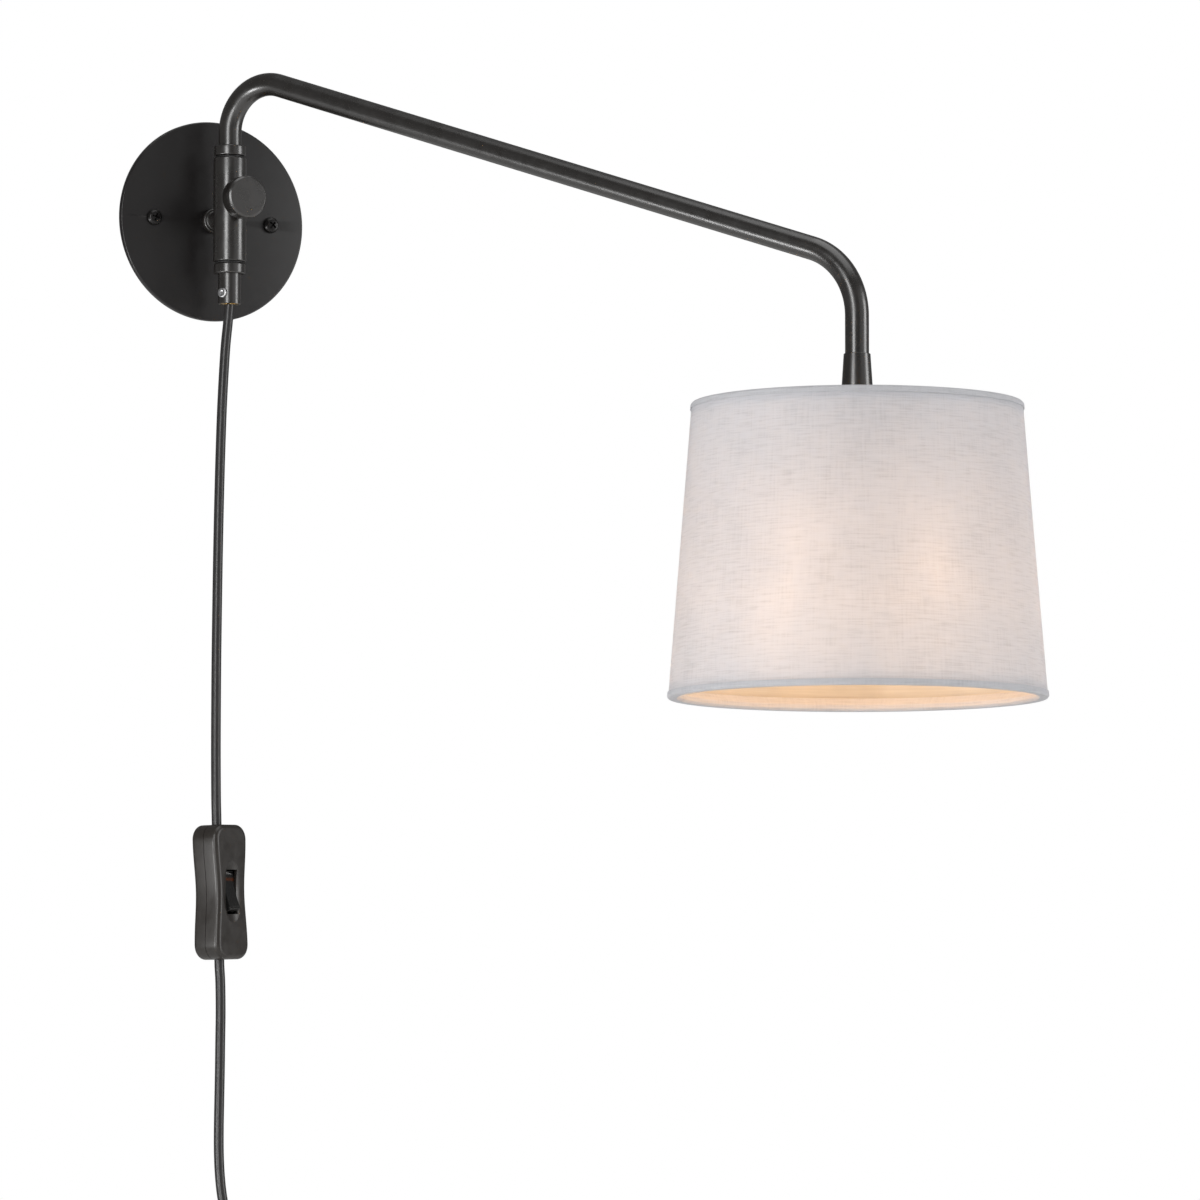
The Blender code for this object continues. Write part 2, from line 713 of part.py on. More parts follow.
def make_bulb(looks, lamp):
    """An opal candle bulb with a small screw cap."""
    outer = bulb_profile(0)
    inner = list(reversed(bulb_profile(GLASS_THICKNESS)))
    turned("bulb_glass", inner + outer, looks["opal"], 20, parent=lamp)
    cap_foot = BULB_NECK_TOP + GAP
    profile = [(0, -0.1625), (0.0040, -0.1625), (CAP_RADIUS, -0.1650), (CAP_RADIUS, cap_foot)]
    profile.append((0, cap_foot))
    turned("bulb_cap", profile, looks["bright_steel"], 20, parent=lamp)
    rod("bulb_contact", 0.0026, -0.1580, -0.1622, looks["brass"], 0.0005, 16, parent=lamp)


# --------------------------------------------------------------- inline switch


def switch_block(name, shrink, thickness, looks, place):
    """The switch's waisted block, at full size or shrunk all round."""
    points = waisted_outline(
        SWITCH_LENGTH - 2 * shrink, SWITCH_WIDTH - 2 * shrink, SWITCH_WAIST - 2 * shrink,
        0.0060 - shrink,
    )
    made = outline_object(name, points, thickness, looks["switch_black"], turn=OUTWARD, **place)
    return to_mesh_object(made)


def make_switch(looks, switch):
    place = {"parent": switch}
    deep = SWITCH_THICKNESS * 2
    for name, way in (("switch_front_shell", -1), ("switch_back_shell", 1)):
        shell = switch_block(name, 0, SWITCH_THICKNESS, looks, place)
        round_edges(shell, SWITCH_EDGE, 2, 60)
        hollow = switch_block(
            f"{name}_hollow", SWITCH_WALL, SWITCH_THICKNESS - 2 * SWITCH_WALL - 0.0016, looks,
            place,
        )
        cut(shell, hollow)
        other = box(
            f"{name}_other_half", (0.05, deep, 0.1), looks["steel"],
            at=(0, -way * (deep / 2 - GAP / 2), 0), **place,
        )
        cut(shell, other)
        for end, side in (("top", 1), ("foot", -1)):
            entry = rod(
                f"{name}_{end}_entry", CORD_RADIUS + GAP, 0.008, -0.008, looks["steel"],
                at=(0, SWITCH_ENTRY_BACK, side * SWITCH_LENGTH / 2), segments=16, **place,
            )
            cut(shell, entry)
        if way < 0:
            cut_rocker_opening(shell, looks, place)
        else:
            cut_case_screws(shell, looks, place)
        smooth(shell)


def cut_rocker_opening(shell, looks, place):
    """The oval dish in the front, and the slot that the rocker comes through."""
    face = -SWITCH_THICKNESS / 2
    dish = turned(
        "rocker_dish", [(0, 0.004), (0.0094, 0.004), (0.0078, -RECESS_DEPTH), (0, -RECESS_DEPTH)],
        looks["steel"], 32, at=(0, face, 0), turn=OUTWARD, **place,
    )
    dish = baked(dish)
    dish.data.transform(Matrix.Diagonal((1, 2.2, 1, 1)))
    cut(shell, dish)
    slot = box(
        "rocker_slot", (ROCKER_WIDTH + 0.0006, 0.012, 2 * ROCKER_REACH + 0.0008), looks["steel"],
        at=(0, face + 0.002, 0), **place,
    )
    cut(shell, slot)


def baked(obj):
    """The object with its modifiers made part of its mesh."""
    bpy.context.view_layer.update()
    evaluated = obj.evaluated_get(bpy.context.evaluated_depsgraph_get())
    mesh = bpy.data.meshes.new_from_object(evaluated)
    obj.modifiers.clear()
    obj.data = mesh
    return obj


def cut_case_screws(shell, looks, place):
    """Two screws from behind that hold the halves together, in counterbored holes."""
    back = SWITCH_THICKNESS / 2
    for end, side in (("upper", 1), ("lower", -1)):
        centre = {"at": (0, 0, side * 0.0235), "turn": (-math.pi / 2, 0, 0), **place}
        cut(shell, rod(f"{end}_screw_bore", 0.0014, 0.02, 0.001, looks["steel"], 0, 16, **centre))
        cut(shell, rod(f"{end}_screw_sink", 0.0028, 0.02, back - 0.0014, looks["steel"], 0, 16, **centre))
        head_top = back - 0.0002
        head_foot = back - 0.0014 + GAP / 2
        profile = [(0, head_top), (0.0024, head_top), (0.0024, head_foot), (0.0011, head_foot)]
        profile += [(0.0011, -0.0035), (0, -0.0042)]
        screw = turned(f"switch_screw_{end}", profile, looks["steel"], 16, **centre)
        for number, angle in enumerate((30, 120)):
            slot = box(
                f"{end}_case_slot_{number}", (0.0028, 0.0007, 0.0014), looks["steel"],
                at=(0, head_top, side * 0.0235),
                turn=(-math.pi / 2, math.radians(angle), 0), **place,
            )
            cut(screw, slot)


def make_rocker(looks, switch):
    """The rocker, whose two ends are arcs about its pivot so that they clear the slot."""
    pivot = empty("rocker_pivot", (0, ROCKER_PIVOT, 0), (ROCKER_TILT, 0, 0), switch)
    lip = math.radians(27)
    ends = arc_points((0, 0), ROCKER_REACH, math.radians(-8), lip, 5)
    outline = [(z, out) for z, out in ends]
    outline.append((0, ROCKER_REACH * math.sin(lip) - 0.0013))
    outline += [(-z, out) for z, out in reversed(ends)]
    outline.append((0, -0.0026))
    # The outline lies in the pivot's frame as (up, outward): its own X is up and its Y outward.
    turn = Matrix(((0, 0, 1), (0, -1, 0), (1, 0, 0))).to_euler()
    rocker = outline_object("rocker", outline, ROCKER_WIDTH, looks["rocker_black"], parent=pivot)
    rocker.rotation_euler = turn
    rocker = to_mesh_object(rocker)
    round_edges(rocker, 0.0004, 1, 40)


def make_switch_inside(looks, switch):
    """Two brass terminals and the sprung leaf that joins them."""
    for name, side in (("switch_terminal_in", 1), ("switch_terminal_out", -1)):
        box(
            name, (0.0060, 0.0050, 0.0080), looks["brass"], parent=switch,
            at=(0.0050, 0.0040, side * 0.0185),
        )
    box(
        "contact_leaf", (0.0030, 0.0005, 0.0284), looks["brass"], parent=switch,
        at=(0.0050, 0.0024, 0),
    )


# ------------------------------------------------------------------------ cord


def switch_entry(height):
    """The middle of the cord's way into the switch, at a height above the switch's centre."""
    turn = Euler((0, SWITCH_LEAN, SWITCH_TURN)).to_matrix()
    return SWITCH_CENTRE + turn @ Vector((0, SWITCH_ENTRY_BACK, height))


def upper_route():
    """From the foot of the tube down to the switch: (height, drift to the left and back)."""
    drifts = [(-0.0493, 0), (-0.060, 0.0009), (-0.075, 0.0023), (-0.103, 0.0038)]
    drifts += [(-0.130, 0.0047), (-0.160, 0.0054), (-0.190, 0.0059), (-0.2145, 0.0062)]
    drifts += [(-0.245, 0.0065), (-0.270, 0.0066), (-0.298, 0.0066)]
    route = [(-0.79 * drift, -AXIS_FROM_WALL + 0.64 * drift, z) for z, drift in drifts]
    end = SWITCH_LENGTH / 2
    return route + [switch_entry(end + reach) for reach in (0.016, 0.006, -CORD_IN_SWITCH)]


def lower_route():
    """From the switch down to the side of the coil."""
    end = -SWITCH_LENGTH / 2
    return [
        switch_entry(end + CORD_IN_SWITCH),
        switch_entry(end - 0.004),
        (-0.0016, -0.0211, -0.4260),
        (-0.0016, -0.0217, -0.4420),
        (-0.0020, -0.0222, -0.4580),
        (-0.0024, -0.0227, -0.4750),
        (-0.0029, -0.0232, -0.4912),
        (-0.0034, -0.0238, -0.5060),
        (-0.0037, -0.0246, -0.5200),
        (-0.0035, -0.0257, -0.5330),
        (-0.0026, -0.0271, -0.5450),
        (-0.0006, -0.0286, -0.5560),
        (0.0030, -0.0300, -0.5690),
    ]


def tail_route():
    """From the front of the coil down to the plug."""
    return [
        (-0.0040, -0.0366, -0.5790),
        (-0.0008, -0.0367, -0.5870),
        (0.0012, -0.0367, -0.5960),
        (0.0023, -0.0366, -0.6050),
        (0.0028, -0.0360, -0.6130),
        (0.0030, -0.0346, -0.6210),
        (0.0030, -0.0330, -0.6290),
        (0.0030, -0.0321, -0.6370),
        (0.0030, -0.0320, -0.6450),
        (0.0030, -0.0320, -0.6560),
        (0.0030, -0.0320, -0.6687),
    ]


def make_cord(looks):
    routes = (
        ("cord_upper", upper_route()), ("cord_lower", lower_route()), ("cord_tail", tail_route())
    )
    for name, route in routes:
        curve_object(name, smooth_route(route, CORD_STEP), CORD_RADIUS, looks["cord"], 8)


def coil_section(grow):
    """The coil's section with rounded corners: (distance from its axis, depth along its axis)."""
    half_depth = (COIL_COLUMNS - 1) * COIL_PITCH / 2 + CORD_RADIUS + grow
    outer = COIL_OUTER + CORD_RADIUS + grow
    inner = COIL_OUTER - COIL_PITCH - CORD_RADIUS - grow
    corners = [(inner, -half_depth), (outer, -half_depth), (outer, half_depth), (inner, half_depth)]
    return rounded_outline(corners, 0.0025 + grow, 2)


def make_coil(looks):
    """The wound length as one solid ring in the plane of the wall, and the strap round it."""
    section = list(reversed(coil_section(0)))
    turned("cord_coil", section, looks["cord"], 32, closed=True, at=COIL_CENTRE, turn=OUTWARD)
    # The strap's own X points out from the coil's centre, and its Y along the coil's axis.
    radial = Vector((math.sin(TIE_ANGLE), 0, math.cos(TIE_ANGLE)))
    axial = Vector((0, -1, 0))
    frame = Matrix((radial, axial, radial.cross(axial))).transposed()
    place = {"at": COIL_CENTRE, "turn": frame.to_euler()}
    outside = coil_section(TIE_ROOM + TIE_THICKNESS)
    strap = outline_object("cord_tie", outside, TIE_WIDTH, looks["strap"], **place)
    inside = coil_section(TIE_ROOM)
    hole = outline_object("tie_hole", inside, 2 * TIE_WIDTH, looks["strap"], **place)
    strap = to_mesh_object(strap)
    cut(strap, to_mesh_object(hole))


# ------------------------------------------------------------------------ plug


def make_plug(looks, plug):
    """A moulded three pin plug that hangs by its cord, with its pins pointing out from the wall."""
    corners = [(-0.0150, -0.0235), (0.0150, -0.0235), (0.0248, -0.0060), (0.0248, 0.0080)]
    corners += [(0.0150, 0.0220), (-0.0150, 0.0220), (-0.0248, 0.0080), (-0.0248, -0.0060)]
    body = outline_object(
        "plug_body", rounded_outline(corners, 0.006, 4), PLUG_THICKNESS, looks["plug_black"],
        parent=plug, turn=OUTWARD, at=(0, 0, -0.0220 - GAP),
    )
    body = to_mesh_object(body)
    round_edges(body, 0.0022, 2, 60)
    face = -PLUG_THICKNESS / 2
    middle = -0.0220 - GAP
    pocket = box(
        "fuse_pocket", (0.0306, 0.0180, 0.0090), looks["steel"], parent=plug,
        at=(0, face, middle - 0.0031),
    )
    cut(body, pocket)
    box(
        "fuse_carrier", (0.0298, 0.0016, 0.0082), looks["plug_black"], parent=plug,
        at=(0, face + 0.0010, middle - 0.0031),
    )
    rod(
        "fuse", 0.0031, 0.0127, -0.0127, looks["ceramic"], 0.0004, 20, parent=plug,
        at=(0, face + 0.0055, middle - 0.0031), turn=TO_RIGHT,
    )
    pins = (
        ("live_pin", PIN_SPACING / 2, 0.0080, (0.0064, 0.0040), PIN_LENGTH, looks["brass"]),
        ("neutral_pin", -PIN_SPACING / 2, 0.0080, (0.0064, 0.0040), PIN_LENGTH, looks["brass"]),
        ("earth_pin", 0, 0.0080 - PIN_RISE, (0.0040, 0.0079), EARTH_LENGTH, looks["plug_black"]),
    )
    for name, x, z, (wide, tall), length, look in pins:
        centre_y = face - GAP - length / 2
        pin = box(
            name, (wide, length, tall), look, parent=plug, at=(x, centre_y, middle + z)
        )
        round_edges(pin, 0.0007, 1, 40)
    relief = [(0.0034, PLUG_RELIEF_LENGTH), (0.0040, PLUG_RELIEF_LENGTH - 0.004)]
    relief += [(0.0058, 0.0), (CORD_RADIUS + GAP, 0.0), (CORD_RADIUS + GAP, PLUG_RELIEF_LENGTH)]
    turned("plug_strain_relief", relief, looks["plug_black"], 24, closed=True, parent=plug)


# ------------------------------------------------------------------------ main


def make_looks():
    return {
        "black_metal": finish("satin black metal", (0.012, 0.012, 0.013), 0.45, 0.6),
        "bronze": finish("dark bronze black metal", (0.030, 0.026, 0.024), 0.36, 0.85),
        "black_screw": finish("black screw steel", (0.015, 0.014, 0.014), 0.35, 0.8),
        "steel": finish("zinc steel", (0.55, 0.56, 0.58), 0.35, 1.0),
        "bright_steel": finish("bright steel", (0.72, 0.72, 0.73), 0.22, 1.0),
        "brass": finish("brass", (0.72, 0.52, 0.22), 0.30, 1.0),
        "nylon": finish("black nylon", (0.03, 0.03, 0.03), 0.55),
        "holder_plastic": finish("lampholder plastic", (0.02, 0.02, 0.02), 0.4),
        "ceramic": finish("ceramic", (0.85, 0.84, 0.80), 0.35),
        "linen": finish("pale grey linen", (0.78, 0.78, 0.79), 0.95),
        "liner": finish("white shade liner", (0.92, 0.90, 0.86), 0.5),
        "wire": finish("white coated wire", (0.85, 0.85, 0.84), 0.4, 0.1),
        "opal": finish("opal glass", (0.95, 0.93, 0.88), 0.15),
        "cord": finish("black cord", (0.02, 0.02, 0.02), 0.5),
        "live_core": finish("brown wire", (0.20, 0.07, 0.03), 0.45),
        "neutral_core": finish("blue wire", (0.03, 0.12, 0.42), 0.45),
        "switch_black": finish("black switch plastic", (0.022, 0.022, 0.022), 0.42),
        "rocker_black": finish("glossy black plastic", (0.010, 0.010, 0.010), 0.22),
        "strap": finish("black strap", (0.015, 0.015, 0.015), 0.9),
        "plug_black": finish("black plug plastic", (0.020, 0.020, 0.020), 0.45),
    }


def clear_scene():
    for obj in list(bpy.data.objects):
        bpy.data.objects.remove(obj)
    for name in (COLLECTION_NAME, CUTTER_COLLECTION_NAME):
        bpy.context.scene.collection.children.link(bpy.data.collections.new(name))
    bpy.data.collections[CUTTER_COLLECTION_NAME].hide_render = True


def main():
    clear_scene()
    looks = make_looks()
    axis = (0, -AXIS_FROM_WALL, 0)
    arm = empty("swing_axis", axis, (0, 0, REST_SWING))
    lamp = empty("lamp_axis", (0, -ARM_REACH, 0), parent=arm)
    thumb = empty("thumbscrew_axis", (0, -AXIS_FROM_WALL, THUMB_HEIGHT), OUTWARD)
    switch = empty("switch_frame", SWITCH_CENTRE, (0, SWITCH_LEAN, SWITCH_TURN))
    plug = empty("plug_frame", PLUG_ENTRY)
    make_wall_plate(looks)
    make_wall_screws(looks)
    make_standoff(looks)
    make_barrel(looks)
    make_collars(looks, arm)
    make_thumbscrew(looks, thumb)
    make_arm_tube(looks, arm)
    make_inner_lead(looks, arm)
    make_cord_grip(looks, arm)
    make_lampholder(looks, lamp)
    make_shade(looks, lamp)
    make_bulb(looks, lamp)
    make_switch(looks, switch)
    make_rocker(looks, switch)
    make_switch_inside(looks, switch)
    make_cord(looks)
    make_coil(looks)
    make_plug(looks, plug)


main()
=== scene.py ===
"""The finished look of a swing arm wall light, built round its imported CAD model.

Metres, +Z up. The wall is the plane y = 0, and the light stands out from it towards -Y.
"""

import math

import bmesh
import bpy
from bpy.props import FloatProperty, FloatVectorProperty, IntProperty, PointerProperty
from mathutils import Euler, Matrix, Vector


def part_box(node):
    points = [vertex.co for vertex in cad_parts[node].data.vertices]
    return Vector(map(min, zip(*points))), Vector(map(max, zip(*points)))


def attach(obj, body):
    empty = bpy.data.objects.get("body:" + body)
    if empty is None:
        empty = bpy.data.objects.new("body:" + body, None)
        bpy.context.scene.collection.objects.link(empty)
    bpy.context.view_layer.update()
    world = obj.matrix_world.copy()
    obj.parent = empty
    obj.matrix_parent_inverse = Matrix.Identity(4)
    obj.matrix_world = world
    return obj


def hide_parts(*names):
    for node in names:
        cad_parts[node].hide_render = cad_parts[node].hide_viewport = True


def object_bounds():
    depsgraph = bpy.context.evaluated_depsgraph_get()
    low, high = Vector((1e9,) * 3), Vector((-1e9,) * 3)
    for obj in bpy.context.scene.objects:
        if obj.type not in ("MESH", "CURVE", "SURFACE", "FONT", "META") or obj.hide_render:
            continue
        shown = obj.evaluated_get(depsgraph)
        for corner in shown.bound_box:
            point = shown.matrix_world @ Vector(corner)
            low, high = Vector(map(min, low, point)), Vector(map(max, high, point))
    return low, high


bl_info = {
    "name": "Swing Arm Wall Light",
    "version": (1, 0, 0),
    "blender": (4, 5, 0),
    "location": "3D View > Sidebar > Wall Light",
    "description": "Builds the finished pieces of a swing arm wall light on its CAD frame",
    "category": "Object",
}

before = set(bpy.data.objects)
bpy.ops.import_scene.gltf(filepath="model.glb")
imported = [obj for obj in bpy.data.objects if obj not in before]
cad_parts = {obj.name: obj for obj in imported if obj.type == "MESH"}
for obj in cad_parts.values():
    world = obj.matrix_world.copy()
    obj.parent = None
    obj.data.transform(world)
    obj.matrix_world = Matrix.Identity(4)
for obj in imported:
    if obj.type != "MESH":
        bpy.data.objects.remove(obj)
CAD_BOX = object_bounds()

# Directions and places, from the frame
OUTWARD = Euler((math.pi / 2, 0, 0)).to_matrix().to_4x4()
BACKWARD = Euler((-math.pi / 2, 0, 0)).to_matrix().to_4x4()


def middle(*nodes):
    """The middle of the box round some CAD nodes."""
    corners = [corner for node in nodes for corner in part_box(node)]
    low = Vector(map(min, *corners))
    high = Vector(map(max, *corners))
    return (low + high) / 2


def at(place, turn=None):
    """A placing matrix: a place, and a turn made before it."""
    return Matrix.Translation(place) @ (turn or Matrix.Identity(4))


def on_axis(axis, height):
    """A point on an upright axis, at a height."""
    return Vector((axis.x, axis.y, height))


SWIVEL = on_axis(middle("swivel_barrel"), 0)
LAMP = on_axis(middle("lampholder_cover"), 0)
SWING = math.atan2(LAMP.x - SWIVEL.x, SWIVEL.y - LAMP.y)
ARM_REACH = (LAMP - SWIVEL).length
ARM = at(SWIVEL, Matrix.Rotation(SWING, 4, "Z"))
GAP = 0.0003

# Plate, screws and stub
PLATE_RADIUS = 0.056
PLATE_THICKNESS = -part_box("wall_plate")[0].y
SCREW_HEAD_RADIUS = 0.0044
SCREW_HEAD_HEIGHT = 0.0029
SCREW_SHANK_RADIUS = 0.0019
SCREW_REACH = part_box("wall_screw_left")[1].y
STUB_FLANGE_RADIUS = 0.0068
STUB_NECK_RADIUS = 0.0050
STUB_FLANGE = 0.0035

# Swivel
BARREL_RADIUS = 0.0092
BARREL_BORE = 0.0076
COLLAR_RADIUS = 0.0088
TUBE_RADIUS = 0.00635
TUBE_WALL = 0.001
THUMB = middle("thumbscrew")
KNOB_RADIUS = 0.01175
KNOB_BACK = 0.0145
STUD_RADIUS = 0.0020
THREAD_ROOT = 0.0018
SCREW_PITCH = 0.0007

# Arm
ARM_TOP_CORNER = 0.082
ARM_OUTER_CORNER = -0.053
TOP_BEND = 0.025
OUTER_BEND = 0.040
TUBE_END = -0.112
TUBE_FOOT = -0.049
GRIP_BORE = 0.00305
GRIP_SCREW_TOP = 0.0079
GRIP_SCREW_HEAD = 0.0027
GRIP_SCREW_SHANK = 0.0015

# Lampholder and shade
COVER_WALL = 0.0012
COVER_RADIUS = 0.0155
HOLDER_RADIUS = 0.0135
FITTER_TOP = -0.1530
SHADE_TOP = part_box("shade_fabric")[1].z
SHADE_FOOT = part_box("shade_fabric")[0].z
SHADE_TOP_RADIUS = 0.0875
SHADE_FOOT_RADIUS = 0.100
SHADE_MEAN_RADIUS = (SHADE_TOP_RADIUS + SHADE_FOOT_RADIUS) / 2
CLOTH = 0.0006
LINER_INSET = 0.0011
LINER = 0.0004
WIRE_RADIUS = 0.0015
WIRE_INSET = 0.0008 + 0.0005 + 2 * GAP + WIRE_RADIUS
SEAM_ANGLE = math.radians(54)

# Bulb
BULB_RADIUS = 0.0175
BULB_NECK = 0.0062
BULB_WALL = 0.0008
BULB_WIDEST = -0.215

# Switch
SWITCH_TURN = math.radians(26)
SWITCH_LEAN = math.radians(-2.2)
SWITCH_LENGTH = 0.0744
SWITCH_WIDTH = 0.0280
SWITCH_WAIST = 0.0240
SWITCH_THICKNESS = 0.0180
SWITCH_EDGE = 0.0028
SWITCH_CORNER = 0.0080
CASE_SCREW_HEIGHT = 0.0235
SWITCH_ENTRY_BACK = 0.0015
SWITCH = at(
    middle("switch_front_shell", "switch_back_shell"),
    Euler((0, SWITCH_LEAN, SWITCH_TURN)).to_matrix().to_4x4(),
)
DISH = (0.0098, 0.0040, 0.0200)
DISH_RISE = 0.0021
ROCKER_REACH = 0.0119
ROCKER_WIDTH = 0.0088
ROCKER_PIVOT = -0.0032
ROCKER_TILT = math.radians(-12)

# Cord
CORD_IN_SWITCH = 0.0025
COIL = middle("cord_coil")
COIL_OUTER = 0.0345
COIL_PITCH = 0.0056
COIL_COLUMNS = 4
CORD_RADIUS = 0.00275
STRAP_INSIDE = 0.0009
STRAP_OUTSIDE = 0.0021
TIE_ANGLE = math.radians(-70)

# Plug
PLUG = Vector((middle("plug_strain_relief").x, middle("plug_body").y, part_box("plug_body")[1].z))
PLUG_THICKNESS = 0.0175
PLUG_CORE = -0.0223
PIN_LENGTH = 0.0177
EARTH_PIN_LENGTH = 0.0227


# ----------------------------------------------------------------- properties


class WallLightFinishes(bpy.types.PropertyGroup):
    plate_colour: FloatVectorProperty(
        name="Plate colour", description="Paint of the wall plate and screws",
        subtype="COLOR", size=3, min=0, max=1, default=(0.0070, 0.0060, 0.0060),
    )
    metal_colour: FloatVectorProperty(
        name="Metal colour", description="Dark bronze black of the arm and swivel",
        subtype="COLOR", size=3, min=0, max=1, default=(0.0110, 0.0094, 0.0082),
    )
    metal_roughness: FloatProperty(
        name="Metal roughness", description="How satin the arm is", subtype="FACTOR",
        min=0, max=1, default=0.29,
    )
    plastic_colour: FloatVectorProperty(
        name="Plastic colour", description="Moulded switch and plug",
        subtype="COLOR", size=3, min=0, max=1, default=(0.0220, 0.0188, 0.0162),
    )
    cord_colour: FloatVectorProperty(
        name="Cord colour", description="Sheath of the cord",
        subtype="COLOR", size=3, min=0, max=1, default=(0.022, 0.021, 0.021),
    )


class WallLightShade(bpy.types.PropertyGroup):
    linen_colour: FloatVectorProperty(
        name="Linen colour", description="Cloth of the shade",
        subtype="COLOR", size=3, min=0, max=1, default=(0.83, 0.83, 0.86),
    )
    thread_spacing: FloatProperty(
        name="Thread spacing", description="From one thread of the weave to the next",
        subtype="DISTANCE", min=0.0002, max=0.002, default=0.00055,
    )
    lamp_colour: FloatVectorProperty(
        name="Lamp colour", description="Light of the bulb",
        subtype="COLOR", size=3, min=0, max=1, default=(1.0, 0.60, 0.30),
    )
    lamp_power: FloatProperty(
        name="Lamp power", description="Power of the light in the bulb, in watts",
        min=0, max=100, default=0.46,
    )


class WallLightCord(bpy.types.PropertyGroup):
    diameter: FloatProperty(
        name="Cord diameter", description="Across the cord's sheath", subtype="DISTANCE",
        min=0.003, max=0.009, default=0.0055,
    )
    coil_turns: FloatProperty(
        name="Coil turns", description="Turns of cord in the tied coil", min=5, max=7,
        default=6.91,
    )
    relief_ribs: IntProperty(
        name="Relief ribs", description="Ribs on the plug's strain relief", min=3, max=14,
        default=8,
    )


class WallLightStudio(bpy.types.PropertyGroup):
    backdrop: FloatProperty(
        name="Backdrop", description="Brightness of the white that is seen behind", min=0, max=4,
        default=1.0,
    )
    ambience: FloatProperty(
        name="Ambience", description="Light that comes from all round", min=0, max=4, default=0.16,
    )
    left_strip: FloatProperty(
        name="Left strip", description="Power of the upright softbox on the left, in watts",
        min=0, max=500, default=19,
    )
    right_box: FloatProperty(
        name="Right box", description="Power of the softbox on the right, in watts", min=0,
        max=500, default=14.5,
    )
    top_box: FloatProperty(
        name="Top box", description="Power of the softbox overhead, in watts", min=0, max=500,
        default=18,
    )
    front_box: FloatProperty(
        name="Front box", description="Power of the wide softbox in front, in watts", min=0,
        max=500, default=4.5,
    )
    low_box: FloatProperty(
        name="Low box", description="Power of the small softbox low on the left, in watts", min=0,
        max=500, default=3.0,
    )


# -------------------------------------------------------------- mesh builders


def finish_mesh(name, shape, crease=30):
    """The mesh of a bmesh, with its faces turned outwards and its edges shaded by angle."""
    bmesh.ops.remove_doubles(shape, verts=shape.verts, dist=1e-7)
    bmesh.ops.recalc_face_normals(shape, faces=shape.faces)
    mesh = bpy.data.meshes.new(name)
    shape.to_mesh(mesh)
    shape.free()
    mesh.shade_smooth()
    mesh.set_sharp_from_angle(angle=math.radians(crease))
    return mesh


def rounded(outline, radius, closed=False, steps=5):
    """An outline with its corners rounded. A corner's own third number overrides the radius."""
    made = []
    for i, corner in enumerate(outline):
        here = Vector(corner[:2])
        own = corner[2] if len(corner) > 2 else radius
        if own <= 0 or (not closed and i in (0, len(outline) - 1)):
            made.append(here)
            continue
        back = Vector(outline[i - 1][:2]) - here
        ahead = Vector(outline[(i + 1) % len(outline)][:2]) - here
        half = back.angle(ahead) / 2
        reach = min(own / math.tan(half), 0.45 * back.length, 0.45 * ahead.length)
        bisector = (back.normalized() + ahead.normalized()).normalized()
        centre = here + bisector * reach / math.cos(half)
        first = here + back.normalized() * reach - centre
        last = here + ahead.normalized() * reach - centre
        start = math.atan2(first.y, first.x)
        sweep = math.remainder(math.atan2(last.y, last.x) - start, 2 * math.pi)
        for k in range(steps + 1):
            angle = start + sweep * k / steps
            made.append(centre + first.length * Vector((math.cos(angle), math.sin(angle))))
    return made


def turned(name, section, steps=96):
    """A half section of (radius, height) turned about Z. It closes on itself off the axis."""
    shape = bmesh.new()
    rings = []
    for radius, height in section:
        count = steps if radius > 1e-7 else 1
        angles = [2 * math.pi * i / steps for i in range(count)]
        rings.append(
            [shape.verts.new((radius * math.cos(a), radius * math.sin(a), height)) for a in angles]
        )
    pairs = list(zip(rings, rings[1:]))
    if len(rings[0]) > 1 or len(rings[-1]) > 1:
        pairs.append((rings[-1], rings[0]))
    for above, below in pairs:
        for i in range(steps):
            j = (i + 1) % steps
            around = (above[i % len(above)], above[j % len(above)])
            around += (below[j % len(below)], below[i % len(below)])
            corners = list(dict.fromkeys(around))
            if len(corners) > 2:
                shape.faces.new(corners)
    return finish_mesh(name, shape)


def sleeve(name, outer, inner, top, foot, edge, steps=96):
    """A round tube with rounded ends."""
    section = [(outer, top, edge), (outer, foot, edge), (inner, foot, edge / 2)]
    section.append((inner, top, edge / 2))
    return turned(name, rounded(section, 0, closed=True), steps)


def plain_rod(name, radius, top, foot, edge, steps=48):
    """A round bar with rounded ends."""
    section = [(0, top), (radius, top, edge), (radius, foot, edge), (0, foot)]
    return turned(name, rounded(section, 0), steps)


def block(name, size, edge=0.0, segments=3):
    """A box about the origin with rounded edges."""
    shape = bmesh.new()
    bmesh.ops.create_cube(shape, size=1)
    bmesh.ops.scale(shape, vec=size, verts=shape.verts)
    if edge:
        bmesh.ops.bevel(
            shape, geom=shape.edges[:], offset=edge, segments=segments, profile=0.5,
            affect="EDGES",
        )
    return finish_mesh(name, shape)


def slab(name, outline, thickness, edge=0.0, segments=5):
    """An outline in its own XY with a thickness centred on it, its rims rounded over."""
    shape = bmesh.new()
    foot = [shape.verts.new((x, y, -thickness / 2)) for x, y in outline]
    top = [shape.verts.new((x, y, thickness / 2)) for x, y in outline]
    shape.faces.new(reversed(foot))
    shape.faces.new(top)
    for i in range(len(outline)):
        j = (i + 1) % len(outline)
        shape.faces.new((foot[i], foot[j], top[j], top[i]))
    if edge:
        rims = [e for e in shape.edges if abs(e.verts[0].co.z - e.verts[1].co.z) < 1e-9]
        bmesh.ops.bevel(
            shape, geom=rims, offset=edge, segments=segments, profile=0.5, affect="EDGES",
            clamp_overlap=True,
        )
    return finish_mesh(name, shape)


